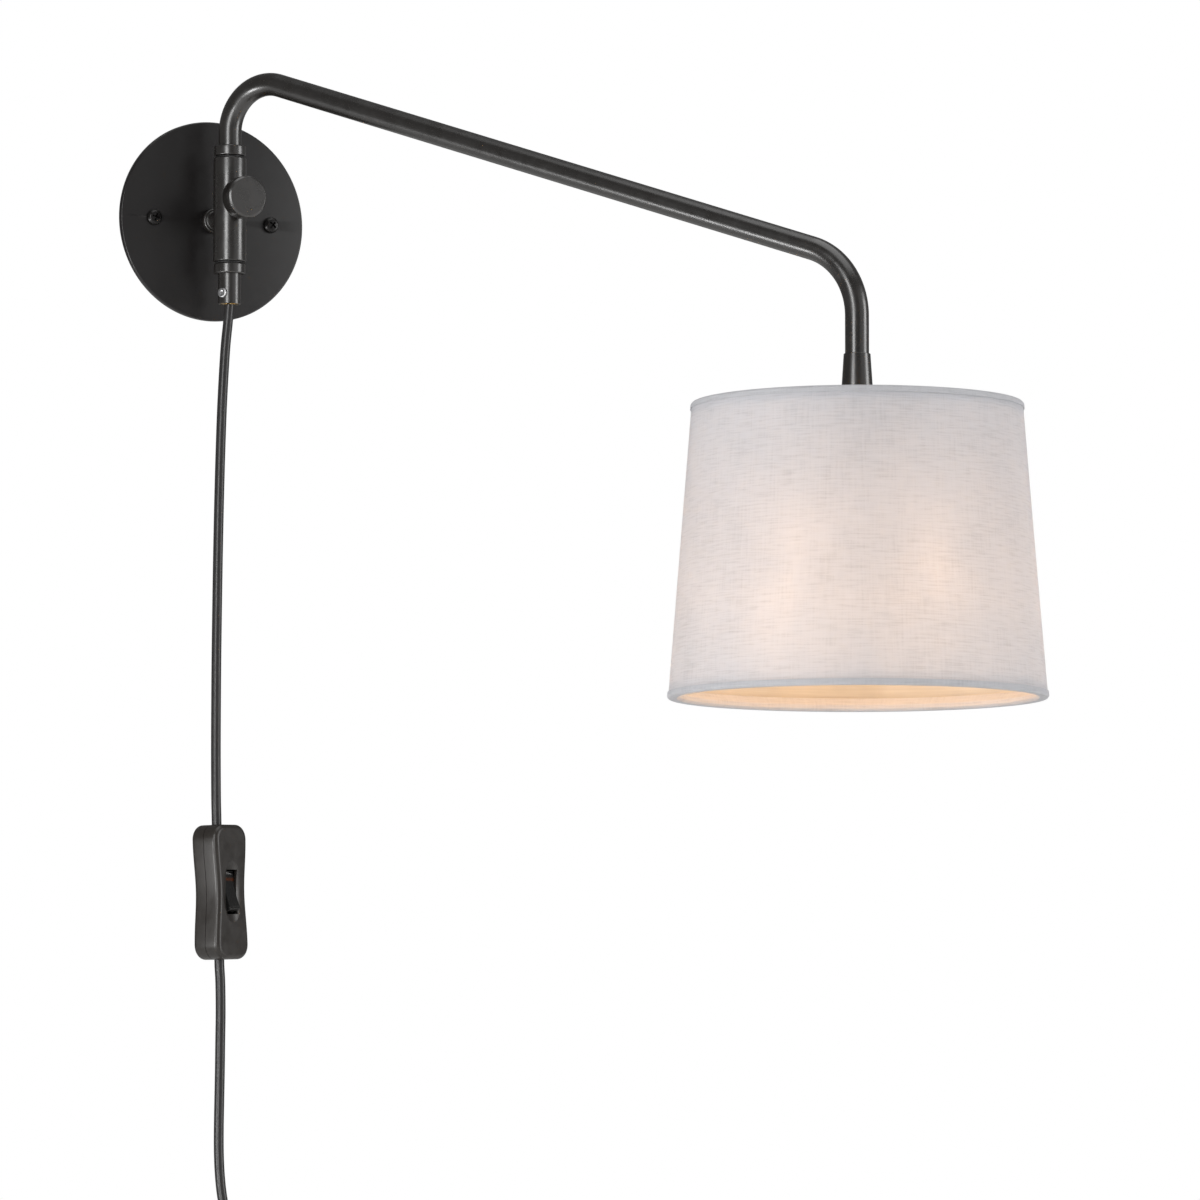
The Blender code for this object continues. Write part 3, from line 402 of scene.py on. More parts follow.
def swept(name, line, radius, sides=16, closed=False):
    """A round wire along a line of points, with flat ends."""
    shape = bmesh.new()
    line = [Vector(point) for point in line]
    side = (line[1] - line[0]).orthogonal().normalized()
    rings = []
    for i, point in enumerate(line):
        if closed:
            along = line[(i + 1) % len(line)] - line[i - 1]
        else:
            along = line[min(i + 1, len(line) - 1)] - line[max(i - 1, 0)]
        along.normalize()
        side = (side - along * side.dot(along)).normalized()
        other = along.cross(side)
        angles = [2 * math.pi * k / sides for k in range(sides)]
        rings.append(
            [shape.verts.new(point + radius * (side * math.cos(a) + other * math.sin(a)))
             for a in angles]
        )
    pairs = list(zip(rings, rings[1:]))
    if closed:
        pairs.append((rings[-1], rings[0]))
    else:
        shape.faces.new(rings[0])
        shape.faces.new(reversed(rings[-1]))
    for first, second in pairs:
        for k in range(sides):
            m = (k + 1) % sides
            shape.faces.new((first[k], first[m], second[m], second[k]))
    return finish_mesh(name, shape)


def moved(mesh, matrix):
    """The same mesh, moved."""
    mesh.transform(matrix)
    return mesh


def joined(name, *meshes):
    """One mesh of several."""
    shape = bmesh.new()
    for mesh in meshes:
        shape.from_mesh(mesh)
        bpy.data.meshes.remove(mesh)
    made = bpy.data.meshes.new(name)
    shape.to_mesh(made)
    shape.free()
    made.shade_smooth()
    made.set_sharp_from_angle(angle=math.radians(30))
    return made


def plain_mesh_of(obj):
    """An object's mesh with its modifiers made part of it. The object goes."""
    bpy.context.view_layer.update()
    evaluated = obj.evaluated_get(bpy.context.evaluated_depsgraph_get())
    mesh = bpy.data.meshes.new_from_object(evaluated)
    name = obj.name
    discard(obj)
    mesh.name = name
    return mesh


def discard(obj):
    """Removes an object and its mesh."""
    mesh = obj.data
    bpy.data.objects.remove(obj)
    bpy.data.meshes.remove(mesh)


def loose_object(mesh):
    made = bpy.data.objects.new(mesh.name, mesh)
    bpy.context.scene.collection.objects.link(made)
    return made


def carved(mesh, cutters, operation="DIFFERENCE", edge=0.0):
    """A mesh with others cut from it, or joined to it. Its new edges can be rounded."""
    obj = loose_object(mesh)
    tools = [loose_object(cutter) for cutter in cutters]
    for tool in tools:
        modifier = obj.modifiers.new(tool.name, "BOOLEAN")
        modifier.operation = operation
        modifier.object = tool
    if edge:
        bevel = obj.modifiers.new("edges", "BEVEL")
        bevel.width = edge
        bevel.segments = 3
        bevel.limit_method = "ANGLE"
        bevel.angle_limit = math.radians(50)
    made = plain_mesh_of(obj)
    for tool in tools:
        discard(tool)
    made.shade_smooth()
    made.set_sharp_from_angle(angle=math.radians(30))
    return made


def piece(mesh, material, body, replaces=(), place=None):
    """A finished piece: its place put into its mesh, its material set, riding on its body."""
    if place is not None:
        mesh.transform(place)
    mesh.materials.clear()
    mesh.materials.append(material)
    made = loose_object(mesh)
    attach(made, body)
    if replaces:
        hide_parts(*replaces)
    return made


# ------------------------------------------------------------- geometry nodes


def node(tree, kind, inputs=None, **settings):
    """A node with its settings, and its inputs linked to an output or set to a value."""
    made = tree.nodes.new(kind)
    for name, value in settings.items():
        setattr(made, name, value)
    for name, value in (inputs or {}).items():
        if isinstance(value, bpy.types.NodeSocket):
            tree.links.new(value, made.inputs[name])
        else:
            made.inputs[name].default_value = value
    return made


def geometry_tree(name, **inputs):
    """A tree with a geometry in and out, and named inputs given as (kind, value)."""
    tree = bpy.data.node_groups.new(name, "GeometryNodeTree")
    tree.interface.new_socket("Geometry", in_out="INPUT", socket_type="NodeSocketGeometry")
    for label, (kind, value) in inputs.items():
        title = label.replace("_", " ").capitalize()
        socket = tree.interface.new_socket(
            title, in_out="INPUT", socket_type=f"NodeSocket{kind}"
        )
        if value is not None:
            socket.default_value = value
    tree.interface.new_socket("Geometry", in_out="OUTPUT", socket_type="NodeSocketGeometry")
    given = tree.nodes.new("NodeGroupInput")
    return tree, given.outputs


def end_tree(tree, geometry, material):
    """Realises the instances, sets the material and gives the tree its output."""
    real = node(tree, "GeometryNodeRealizeInstances", {"Geometry": geometry})
    smooth = node(tree, "GeometryNodeSetShadeSmooth", {"Geometry": real.outputs[0]})
    paint = node(
        tree, "GeometryNodeSetMaterial", {"Geometry": smooth.outputs[0], "Material": material}
    )
    node(tree, "NodeGroupOutput", {"Geometry": paint.outputs[0]})
    return tree


def bent_tube_tree():
    """A tube along a line of four points, with a round bend of its own at each corner."""
    tree, given = geometry_tree(
        "bent tube", radius=("Float", 0.006), top_bend=("Float", 0.02),
        outer_bend=("Float", 0.04), sides=("Int", 64), material=("Material", None),
    )
    line = node(tree, "GeometryNodeMeshToCurve", {"Mesh": given["Geometry"]})
    index = node(tree, "GeometryNodeInputIndex")
    first = node(
        tree, "FunctionNodeCompare", {2: index.outputs[0], 3: 1}, data_type="INT",
        operation="EQUAL",
    )
    bend = node(
        tree, "GeometryNodeSwitch",
        {"Switch": first.outputs[0], "False": given["Outer bend"], "True": given["Top bend"]},
        input_type="FLOAT",
    )
    fillet = node(
        tree, "GeometryNodeFilletCurve",
        {"Curve": line.outputs[0], "Count": 40, "Radius": bend.outputs[0]}, mode="POLY",
    )
    circle = node(
        tree, "GeometryNodeCurvePrimitiveCircle",
        {"Resolution": given["Sides"], "Radius": given["Radius"]}, mode="RADIUS",
    )
    tube = node(
        tree, "GeometryNodeCurveToMesh",
        {"Curve": fillet.outputs[0], "Profile Curve": circle.outputs[0]},
    )
    return end_tree(tree, tube.outputs[0], given["Material"])


def thread_tree():
    """A screw's body with a thread wound round its shank, down from a height."""
    tree, given = geometry_tree(
        "screw thread", radius=("Float", 0.002), length=("Float", 0.02), pitch=("Float", 0.001),
        depth=("Float", 0.0004), top=("Float", 0.0), material=("Material", None),
    )
    turns = node(
        tree, "ShaderNodeMath", {0: given["Length"], 1: given["Pitch"]}, operation="DIVIDE"
    )
    spiral = node(
        tree, "GeometryNodeCurveSpiral",
        {"Resolution": 24, "Rotations": turns.outputs[0], "Start Radius": given["Radius"],
         "End Radius": given["Radius"], "Height": given["Length"]},
    )
    ridge = node(
        tree, "GeometryNodeCurvePrimitiveCircle", {"Resolution": 4, "Radius": given["Depth"]},
        mode="RADIUS",
    )
    wound = node(
        tree, "GeometryNodeCurveToMesh",
        {"Curve": spiral.outputs[0], "Profile Curve": ridge.outputs[0], "Fill Caps": True},
    )
    foot = node(
        tree, "ShaderNodeMath", {0: given["Top"], 1: given["Length"]}, operation="SUBTRACT"
    )
    drop = node(tree, "ShaderNodeCombineXYZ", {"Z": foot.outputs[0]})
    placed = node(
        tree, "GeometryNodeTransform",
        {"Geometry": wound.outputs[0], "Translation": drop.outputs[0]},
    )
    both = node(tree, "GeometryNodeJoinGeometry", {"Geometry": given["Geometry"]})
    tree.links.new(placed.outputs[0], both.inputs[0])
    return end_tree(tree, both.outputs[0], given["Material"])


def copies_tree():
    """A copy of one object on every point, facing one way, each with a turn of its own."""
    tree, given = geometry_tree(
        "copies", original=("Object", None), facing=("Vector", (0, 0, 1)),
        most_turn=("Float", 0.0), seed=("Int", 1), material=("Material", None),
    )
    copied = node(tree, "GeometryNodeObjectInfo", {"Object": given["Original"]})
    turn = node(
        tree, "FunctionNodeRandomValue",
        {2: 0.0, 3: given["Most turn"], "Seed": given["Seed"]}, data_type="FLOAT",
    )
    spin = node(
        tree, "FunctionNodeAxisAngleToRotation", {"Axis": (0, 0, 1), "Angle": turn.outputs[1]}
    )
    face = node(
        tree, "FunctionNodeAlignRotationToVector",
        {"Rotation": spin.outputs[0], "Vector": given["Facing"]}, axis="Z",
    )
    placed = node(
        tree, "GeometryNodeInstanceOnPoints",
        {"Points": given["Geometry"], "Instance": copied.outputs["Geometry"],
         "Rotation": face.outputs[0]},
    )
    return end_tree(tree, placed.outputs[0], given["Material"])


def spokes_tree():
    """A line of points swept into a wire, and the wire repeated round Z."""
    tree, given = geometry_tree(
        "spokes", count=("Int", 3), radius=("Float", 0.0013), material=("Material", None)
    )
    line = node(tree, "GeometryNodeMeshToCurve", {"Mesh": given["Geometry"]})
    circle = node(
        tree, "GeometryNodeCurvePrimitiveCircle", {"Resolution": 20, "Radius": given["Radius"]},
        mode="RADIUS",
    )
    wire = node(
        tree, "GeometryNodeCurveToMesh",
        {"Curve": line.outputs[0], "Profile Curve": circle.outputs[0], "Fill Caps": True},
    )
    points = node(tree, "GeometryNodePoints", {"Count": given["Count"]})
    index = node(tree, "GeometryNodeInputIndex")
    step = node(tree, "ShaderNodeMath", {0: 2 * math.pi, 1: given["Count"]}, operation="DIVIDE")
    turn = node(
        tree, "ShaderNodeMath", {0: index.outputs[0], 1: step.outputs[0]}, operation="MULTIPLY"
    )
    spin = node(
        tree, "FunctionNodeAxisAngleToRotation", {"Axis": (0, 0, 1), "Angle": turn.outputs[0]}
    )
    placed = node(
        tree, "GeometryNodeInstanceOnPoints",
        {"Points": points.outputs[0], "Instance": wire.outputs[0], "Rotation": spin.outputs[0]},
    )
    return end_tree(tree, placed.outputs[0], given["Material"])


def ribs_tree():
    """A row of rings along Z that shrink with height, added to the piece they ring."""
    tree, given = geometry_tree(
        "ribs", count=("Int", 8), spacing=("Float", 0.003), first_radius=("Float", 0.005),
        last_radius=("Float", 0.003), thickness=("Float", 0.0006), material=("Material", None),
    )
    offset = node(tree, "ShaderNodeCombineXYZ", {"Z": given["Spacing"]})
    points = node(
        tree, "GeometryNodeMeshLine", {"Count": given["Count"], "Offset": offset.outputs[0]},
        mode="OFFSET",
    )
    ring = node(
        tree, "GeometryNodeCurvePrimitiveCircle", {"Resolution": 64, "Radius": 1.0}, mode="RADIUS"
    )
    section = node(
        tree, "GeometryNodeCurvePrimitiveCircle", {"Resolution": 10, "Radius": 0.16},
        mode="RADIUS",
    )
    rib = node(
        tree, "GeometryNodeCurveToMesh",
        {"Curve": ring.outputs[0], "Profile Curve": section.outputs[0]},
    )
    index = node(tree, "GeometryNodeInputIndex")
    size = node(
        tree, "ShaderNodeMapRange",
        {"Value": index.outputs[0], "From Min": 0.0, "From Max": given["Count"],
         "To Min": given["First radius"], "To Max": given["Last radius"]},
    )
    scale = node(
        tree, "ShaderNodeCombineXYZ",
        {"X": size.outputs[0], "Y": size.outputs[0], "Z": size.outputs[0]},
    )
    placed = node(
        tree, "GeometryNodeInstanceOnPoints",
        {"Points": points.outputs[0], "Instance": rib.outputs[0], "Scale": scale.outputs[0]},
    )
    both = node(tree, "GeometryNodeJoinGeometry", {"Geometry": given["Geometry"]})
    tree.links.new(placed.outputs[0], both.inputs[0])
    return end_tree(tree, both.outputs[0], given["Material"])


def grown(name, tree, source, **values):
    """The plain mesh that a tree makes from a source mesh."""
    obj = loose_object(source)
    obj.name = name
    modifier = obj.modifiers.new(name, "NODES")
    modifier.node_group = tree
    titles = {label.replace("_", " ").capitalize(): value for label, value in values.items()}
    for item in tree.interface.items_tree:
        if item.item_type == "SOCKET" and item.in_out == "INPUT" and item.name in titles:
            modifier[item.identifier] = titles[item.name]
    mesh = plain_mesh_of(obj)
    mesh.set_sharp_from_angle(angle=math.radians(30))
    return mesh


def points_mesh(name, points, chained=False):
    """Bare points, or a chain of edges through them."""
    mesh = bpy.data.meshes.new(name)
    edges = [(i, i + 1) for i in range(len(points) - 1)] if chained else []
    mesh.from_pydata([tuple(point) for point in points], edges, [])
    return mesh


def walled(mesh, wall):
    """A skin given a wall on its inner side."""
    obj = loose_object(mesh)
    modifier = obj.modifiers.new("wall", "SOLIDIFY")
    modifier.thickness = wall
    modifier.offset = -1
    return plain_mesh_of(obj)


def smooth_line(points, step):
    """A smooth curve through points, as points a step or less apart."""
    points = [Vector(point) for point in points]
    ends = [2 * points[0] - points[1], *points, 2 * points[-1] - points[-2]]
    made = []
    for before, start, end, after in zip(ends, ends[1:], ends[2:], ends[3:]):
        count = max(1, math.ceil((end - start).length / step))
        for i in range(count):
            t = i / count
            made.append(
                0.5 * (2 * start + (end - before) * t
                       + (2 * before - 5 * start + 4 * end - after) * t ** 2
                       + (3 * start - before - 3 * end + after) * t ** 3)
            )
    return [*made, points[-1]]


def length_of(line):
    return sum((b - a).length for a, b in zip(line, line[1:]))


# ------------------------------------------------------------------ materials


def toned(colour, share):
    return tuple(min(1, part * share) for part in colour)


def noise(tree, where, scale, detail=3.0, distortion=0.0):
    made = node(
        tree, "ShaderNodeTexNoise",
        {"Vector": where, "Scale": scale, "Detail": detail, "Distortion": distortion},
    )
    return made.outputs["Fac"]


def mapped(tree, value, low, high, start=0.3, end=0.7):
    made = node(
        tree, "ShaderNodeMapRange",
        {"Value": value, "From Min": start, "From Max": end, "To Min": low, "To Max": high},
    )
    return made.outputs[0]


def ramp(tree, value, *stops):
    """A colour that follows a value, by stops of a place and a colour."""
    made = node(tree, "ShaderNodeValToRGB", {"Fac": value})
    elements = made.color_ramp.elements
    while len(elements) < len(stops):
        elements.new(1)
    for element, (place, colour) in zip(elements, stops):
        element.position = place
        element.color = (*colour, 1)
    return made.outputs["Color"]


def summed(tree, *parts):
    """The sum of values, each with its share."""
    total = None
    for value, share in parts:
        part = node(
            tree, "ShaderNodeMath", {0: value, 1: share}, operation="MULTIPLY"
        ).outputs[0]
        if total is not None:
            part = node(tree, "ShaderNodeMath", {0: total, 1: part}, operation="ADD").outputs[0]
        total = part
    return total


def stretched(tree, where, scale):
    return node(tree, "ShaderNodeMapping", {"Vector": where, "Scale": scale}).outputs[0]


def new_material(name):
    material = bpy.data.materials.new(name)
    material.use_nodes = True
    tree = material.node_tree
    return material, tree, tree.nodes["Principled BSDF"]


def finish(name, colour, roughness, mottle=0.12, patch=55, grain=2600, relief=0.00002,
           strength=0.35, spread=0.06, brushed=None, **sockets):
    """A surface with a mottled colour, uneven roughness and a fine grain."""
    material, tree, shader = new_material(name)
    where = node(tree, "ShaderNodeTexCoord").outputs["Object"]
    patches = noise(tree, where, patch, 4)
    colour = tuple(colour)
    tones = ramp(
        tree, patches, (0.3, toned(colour, 1 - mottle)), (0.52, colour),
        (0.72, toned(colour, 1 + mottle)),
    )
    tree.links.new(tones, shader.inputs["Base Color"])
    wear = noise(tree, where, patch * 3.1, 3, 0.4)
    tree.links.new(
        mapped(tree, wear, roughness - spread, roughness + spread), shader.inputs["Roughness"]
    )
    fine = noise(tree, stretched(tree, where, brushed or (1, 1, 1)), grain, 2)
    bump = node(
        tree, "ShaderNodeBump", {"Height": fine, "Strength": strength, "Distance": relief}
    )
    tree.links.new(bump.outputs[0], shader.inputs["Normal"])
    for title, value in sockets.items():
        shader.inputs[title.replace("_", " ").title().replace("Ior", "IOR")].default_value = value
    return material


def see_through(material, tree, shader, colour, share):
    """Lets a share of the light through a thin surface, spread out."""
    glow = node(tree, "ShaderNodeBsdfTranslucent", {"Color": colour})
    both = node(
        tree, "ShaderNodeMixShader", {0: share, 1: shader.outputs[0], 2: glow.outputs[0]}
    )
    tree.links.new(both.outputs[0], tree.nodes["Material Output"].inputs["Surface"])
    return material


def painted_bulb_glow(tree, where):
    """A painted glow: warm emission that stands in for the bulb's light through the cloth,
    strongest low down and to either side across the camera's line of sight.
    """
    height = node(tree, "ShaderNodeSeparateXYZ", {"Vector": where}).outputs["Z"]
    level = mapped(tree, height, 0, 1, SHADE_FOOT, SHADE_TOP)
    high = ramp(
        tree, level, (0.0, (0.5,) * 3), (0.3, (1,) * 3), (0.55, (0.55,) * 3), (0.95, (0,) * 3)
    )
    outward = node(
        tree, "ShaderNodeVectorMath", {0: where, 1: tuple(LAMP)}, operation="SUBTRACT"
    ).outputs[0]
    across = node(
        tree, "ShaderNodeVectorMath", {0: outward, 1: (8.8, -4.7, 0)}, operation="DOT_PRODUCT"
    ).outputs["Value"]
    aside = node(tree, "ShaderNodeMath", {0: across}, operation="ABSOLUTE").outputs[0]
    wide = ramp(
        tree, aside, (0.0, (0.6,) * 3), (0.38, (1,) * 3), (0.7, (0.4,) * 3), (1.0, (0.22,) * 3)
    )
    both = node(tree, "ShaderNodeMath", {0: high, 1: wide}, operation="MULTIPLY").outputs[0]
    patchy = noise(tree, where, 28, 3)
    share = node(
        tree, "ShaderNodeMath", {0: both, 1: mapped(tree, patchy, 0.75, 1.2)},
        operation="MULTIPLY",
    ).outputs[0]
    return ramp(tree, share, (0.0, (0, 0, 0)), (1.0, (1.0, 0.60, 0.30)))


def linen_finish(name, colour, spacing, share, glow=0.0):
    """Plain woven linen: threads both ways, with thick and thin runs in each.

    The cloth carries a painted glow, an emission that stands in for the bulb's light where the
    bulb is near it."""
    material, tree, shader = new_material(name)
    coord = node(tree, "ShaderNodeTexCoord")
    cloth = coord.outputs["UV"]
    weft = noise(tree, stretched(tree, cloth, (60, 1000, 1)), 1, 4, 0.2)
    warp = noise(tree, stretched(tree, cloth, (900, 60, 1)), 1, 3, 0.2)
    slubs = noise(tree, stretched(tree, cloth, (120, 1700, 1)), 1, 2)
    cloud = noise(tree, coord.outputs["Object"], 24, 3)
    tone = summed(tree, (weft, 0.42), (warp, 0.22), (slubs, 0.22), (cloud, 0.14))
    tones = ramp(
        tree, tone, (0.36, toned(colour, 0.86)), (0.5, colour), (0.64, toned(colour, 1.05))
    )
    tree.links.new(tones, shader.inputs["Base Color"])
    across = node(
        tree, "ShaderNodeTexWave",
        {"Vector": cloth, "Scale": math.pi / 10 / spacing, "Distortion": 1.4, "Detail": 1.5},
        bands_direction="X",
    ).outputs["Fac"]
    down = node(
        tree, "ShaderNodeTexWave",
        {"Vector": cloth, "Scale": math.pi / 10 / spacing, "Distortion": 1.4, "Detail": 1.5},
        bands_direction="Y",
    ).outputs["Fac"]
    height = summed(tree, (across, 0.35), (down, 0.4), (weft, 0.45), (warp, 0.4), (slubs, 0.35))
    bump = node(
        tree, "ShaderNodeBump", {"Height": height, "Strength": 0.5, "Distance": 0.00012}
    )
    tree.links.new(bump.outputs[0], shader.inputs["Normal"])
    tree.links.new(mapped(tree, cloud, 0.82, 0.96), shader.inputs["Roughness"])
    shader.inputs["Sheen Weight"].default_value = 0.12
    shader.inputs["Sheen Roughness"].default_value = 0.5
    shader.inputs["Specular IOR Level"].default_value = 0.15
    # Painted glow: the cloth emits warm light that stands in for the bulb's light through it.
    tree.links.new(painted_bulb_glow(tree, coord.outputs["Object"]), shader.inputs["Emission Color"])
    shader.inputs["Emission Strength"].default_value = glow
    return see_through(material, tree, shader, tones, share)


def liner_finish():
    """The smooth white plastic that lines the shade."""
    material, tree, shader = new_material("shade lining")
    coord = node(tree, "ShaderNodeTexCoord")
    cloud = noise(tree, coord.outputs["Object"], 30, 3)
    faint = noise(tree, stretched(tree, coord.outputs["UV"], (30, 900, 1)), 1, 3)
    tone = summed(tree, (cloud, 0.5), (faint, 0.5))
    tones = ramp(tree, tone, (0.35, (0.80, 0.77, 0.71)), (0.65, (0.90, 0.87, 0.81)))
    tree.links.new(tones, shader.inputs["Base Color"])
    tree.links.new(mapped(tree, cloud, 0.42, 0.55), shader.inputs["Roughness"])
    bump = node(tree, "ShaderNodeBump", {"Height": tone, "Strength": 0.2, "Distance": 0.00008})
    tree.links.new(bump.outputs[0], shader.inputs["Normal"])
    return see_through(material, tree, shader, tones, 0.62)


def opal_finish(colour):
    """Opal glass, lit from within."""
    material = finish("opal glass", (0.92, 0.90, 0.87), 0.18, mottle=0.02, strength=0.05)
    shader = material.node_tree.nodes["Principled BSDF"]
    shader.inputs["Emission Color"].default_value = (*toned(colour, 1.0), 1)
    shader.inputs["Emission Strength"].default_value = 1.6
    return material


def rocker_finish():
    """Glossy black plastic with a narrow warm band near its top: a painted glint."""
    material, tree, shader = new_material("rocker plastic")
    where = node(tree, "ShaderNodeTexCoord").outputs["Object"]
    height = node(tree, "ShaderNodeSeparateXYZ", {"Vector": where}).outputs["Z"]
    middle_height = middle("rocker").z
    share = mapped(tree, height, 0, 1, middle_height - ROCKER_REACH, middle_height + ROCKER_REACH)
    black = (0.010, 0.0098, 0.0096)
    # Painted glint: a narrow warm band in the key's colour near its top.
    glint_tone = (0.060, 0.015, 0.004)
    tones = ramp(tree, share, (0.74, black), (0.78, glint_tone), (0.80, glint_tone), (0.85, black))
    tree.links.new(tones, shader.inputs["Base Color"])
    scuffs = noise(tree, where, 240, 3)
    tree.links.new(mapped(tree, scuffs, 0.10, 0.19), shader.inputs["Roughness"])
    bump = node(
        tree, "ShaderNodeBump",
        {"Height": noise(tree, where, 900, 2), "Strength": 0.12, "Distance": 0.00002},
    )
    tree.links.new(bump.outputs[0], shader.inputs["Normal"])
    return material


def strap_finish():
    """Woven hook-and-loop strap."""
    material, tree, shader = new_material("strap weave")
    where = node(tree, "ShaderNodeTexCoord").outputs["Object"]
    fuzz = noise(tree, where, 2400, 4)
    rows = node(
        tree, "ShaderNodeTexWave", {"Vector": where, "Scale": 420.0, "Distortion": 2.5},
        bands_direction="DIAGONAL",
    ).outputs["Fac"]
    tones = ramp(tree, fuzz, (0.35, (0.008, 0.008, 0.008)), (0.68, (0.034, 0.033, 0.032)))
    tree.links.new(tones, shader.inputs["Base Color"])
    height = summed(tree, (fuzz, 0.6), (rows, 0.5))
    bump = node(tree, "ShaderNodeBump", {"Height": height, "Strength": 0.8, "Distance": 0.0002})
    tree.links.new(bump.outputs[0], shader.inputs["Normal"])
    tree.links.new(mapped(tree, fuzz, 0.8, 0.98), shader.inputs["Roughness"])
    shader.inputs["Sheen Weight"].default_value = 0.3
    return material


STOCK_FINISHES = {
    "zinc steel": dict(
        colour=(0.50, 0.50, 0.51), roughness=0.36, metallic=1.0, mottle=0.16, patch=300,
    ),
    "bright steel": dict(
        colour=(0.74, 0.74, 0.75), roughness=0.22, metallic=1.0, mottle=0.06, patch=260,
    ),
    "yellow brass": dict(
        colour=(0.70, 0.49, 0.20), roughness=0.30, metallic=1.0, mottle=0.12, patch=260,
    ),
    "black nylon": dict(colour=(0.020, 0.020, 0.020), roughness=0.52, strength=0.5),
    "holder plastic": dict(colour=(0.030, 0.028, 0.027), roughness=0.38, strength=0.5),
    "glazed ceramic": dict(
        colour=(0.80, 0.78, 0.73), roughness=0.32, mottle=0.05, coat_weight=0.4,
        coat_roughness=0.15,
    ),
    "brown insulation": dict(colour=(0.16, 0.055, 0.022), roughness=0.44),
    "blue insulation": dict(colour=(0.020, 0.095, 0.36), roughness=0.44),
    "white wire coating": dict(
        colour=(0.78, 0.77, 0.75), roughness=0.40, mottle=0.05, strength=0.6, grain=1500,
        coat_weight=0.2, coat_roughness=0.3,
    ),
    "plug plastic": dict(
        colour=(0.021, 0.0208, 0.0205), roughness=0.46, strength=0.7, grain=2200,
        relief=0.00003,
    ),
    "plug rubber": dict(
        colour=(0.017, 0.0168, 0.0165), roughness=0.58, strength=0.7, grain=1800,
        relief=0.00004,
    ),
}


PAINTS = {}


def paint(name):
    """A finish by its name, made the first time that it is asked for."""
    if name in PAINTS:
        return PAINTS[name]
    if name in STOCK_FINISHES:
        PAINTS[name] = finish(name, **STOCK_FINISHES[name])
        return PAINTS[name]
    looks = bpy.context.scene.wall_light_finishes
    shade = bpy.context.scene.wall_light_shade
    makers = {
        "plate paint": lambda: finish(
            name, looks.plate_colour, 0.33, mottle=0.10, grain=1500, relief=0.00002,
            strength=0.3, spread=0.02, specular_ior_level=0.50,
        ),
        "screw black": lambda: finish(
            name, toned(looks.plate_colour, 1.1), 0.30, mottle=0.3, patch=320, metallic=0.3,
        ),
        "bronze black": lambda: finish(
            name, looks.metal_colour, looks.metal_roughness, mottle=0.14, patch=40,
            grain=1800, relief=0.00001, strength=0.08, specular_ior_level=0.9,
            coat_weight=0.35, coat_roughness=0.26,
        ),
        "switch plastic": lambda: finish(
            name, looks.plastic_colour, 0.34, mottle=0.08, strength=0.5, grain=1800,
            relief=0.00002,
        ),
        "cord sheath": lambda: finish(
            name, looks.cord_colour, 0.33, mottle=0.12, patch=120, strength=0.4, grain=1500,
            relief=0.00004,
        ),
        # The last number is the strength of the cloth's painted glow, an emission that stands in
        # for the bulb's light.
        "woven linen": lambda: linen_finish(
            name, shade.linen_colour, shade.thread_spacing, 0.42, 0.30
        ),
        # Painted shade: the hems' linen is toned to 0.84 of the cloth's colour, for the light that
        # the folded layers hold back.
        "hem linen": lambda: linen_finish(
            name, toned(shade.linen_colour, 0.84), shade.thread_spacing, 0.30
        ),
        "shade lining": liner_finish,
        "opal glass": lambda: opal_finish(shade.lamp_colour),
        "rocker plastic": rocker_finish,
        "strap weave": strap_finish,
    }
    PAINTS[name] = makers[name]()
    return PAINTS[name]


# ----------------------------------------------------------------- stage


STAGE_MIDDLE = (0.08, -0.15, -0.2)
ARM_MIDDLE = (0.1, -0.2, 0.03)
CAMERA_PLACE = (-1.84207, -3.92086, -0.58448)
CAMERA_AIM = (0.46857, 0.87926, 0.08571)
CAMERA_LENS = 233.7

# Each softbox: the way to it from the point that it faces, how far, and its width and height
SOFTBOXES = {
    "left_strip": (STAGE_MIDDLE, (-0.808, -0.584, 0.12), 2.0, (0.6, 1.4)),
    "right_box": (STAGE_MIDDLE, (0.81, -0.59, 0.10), 2.0, (0.7, 1.4)),
    "top_box": (STAGE_MIDDLE, (0.1, -0.25, 1.0), 2.2, (2.0, 2.0)),
    "front_box": (STAGE_MIDDLE, (0.47, -0.88, 0.25), 2.6, (2.4, 1.5)),
    "low_box": (ARM_MIDDLE, (-0.877, 0.071, -0.476), 1.1, (0.27, 0.20)),
}


def softbox(name, power, target, direction, distance, size):
    """A rectangular light at a distance from its target, which it faces."""
    data = bpy.data.lights.new(name, "AREA")
    data.shape = "RECTANGLE"
    data.size, data.size_y = size
    data.energy = power
    light = bpy.data.objects.new(name, data)
    direction = Vector(direction).normalized()
    light.location = Vector(target) + direction * distance
    light.rotation_euler = (-direction).to_track_quat("-Z", "Y").to_euler()
    light.visible_camera = False
    bpy.context.scene.collection.objects.link(light)


def make_camera():
    data = bpy.data.cameras.new("studio camera")
    data.sensor_width = 36
    data.lens = CAMERA_LENS
    camera = bpy.data.objects.new("studio camera", data)
    camera.location = CAMERA_PLACE
    camera.rotation_euler = Vector(CAMERA_AIM).to_track_quat("-Z", "Y").to_euler()
    bpy.context.scene.collection.objects.link(camera)
    bpy.context.scene.camera = camera


def make_world(studio):
    """White behind the light, and softer grey light from all round."""
    world = bpy.data.worlds.new("studio")
    world.use_nodes = True
    tree = world.node_tree
    around = tree.nodes["Background"]
    around.inputs["Color"].default_value = (1, 0.995, 0.99, 1)
    around.inputs["Strength"].default_value = studio.ambience
    behind = node(
        tree, "ShaderNodeBackground",
        {"Color": (1, 1, 1, 1), "Strength": studio.backdrop},
    )
    seen = node(tree, "ShaderNodeLightPath").outputs["Is Camera Ray"]
    both = node(
        tree, "ShaderNodeMixShader", {0: seen, 1: around.outputs[0], 2: behind.outputs[0]}
    )
    tree.links.new(both.outputs[0], tree.nodes["World Output"].inputs["Surface"])
    bpy.context.scene.world = world


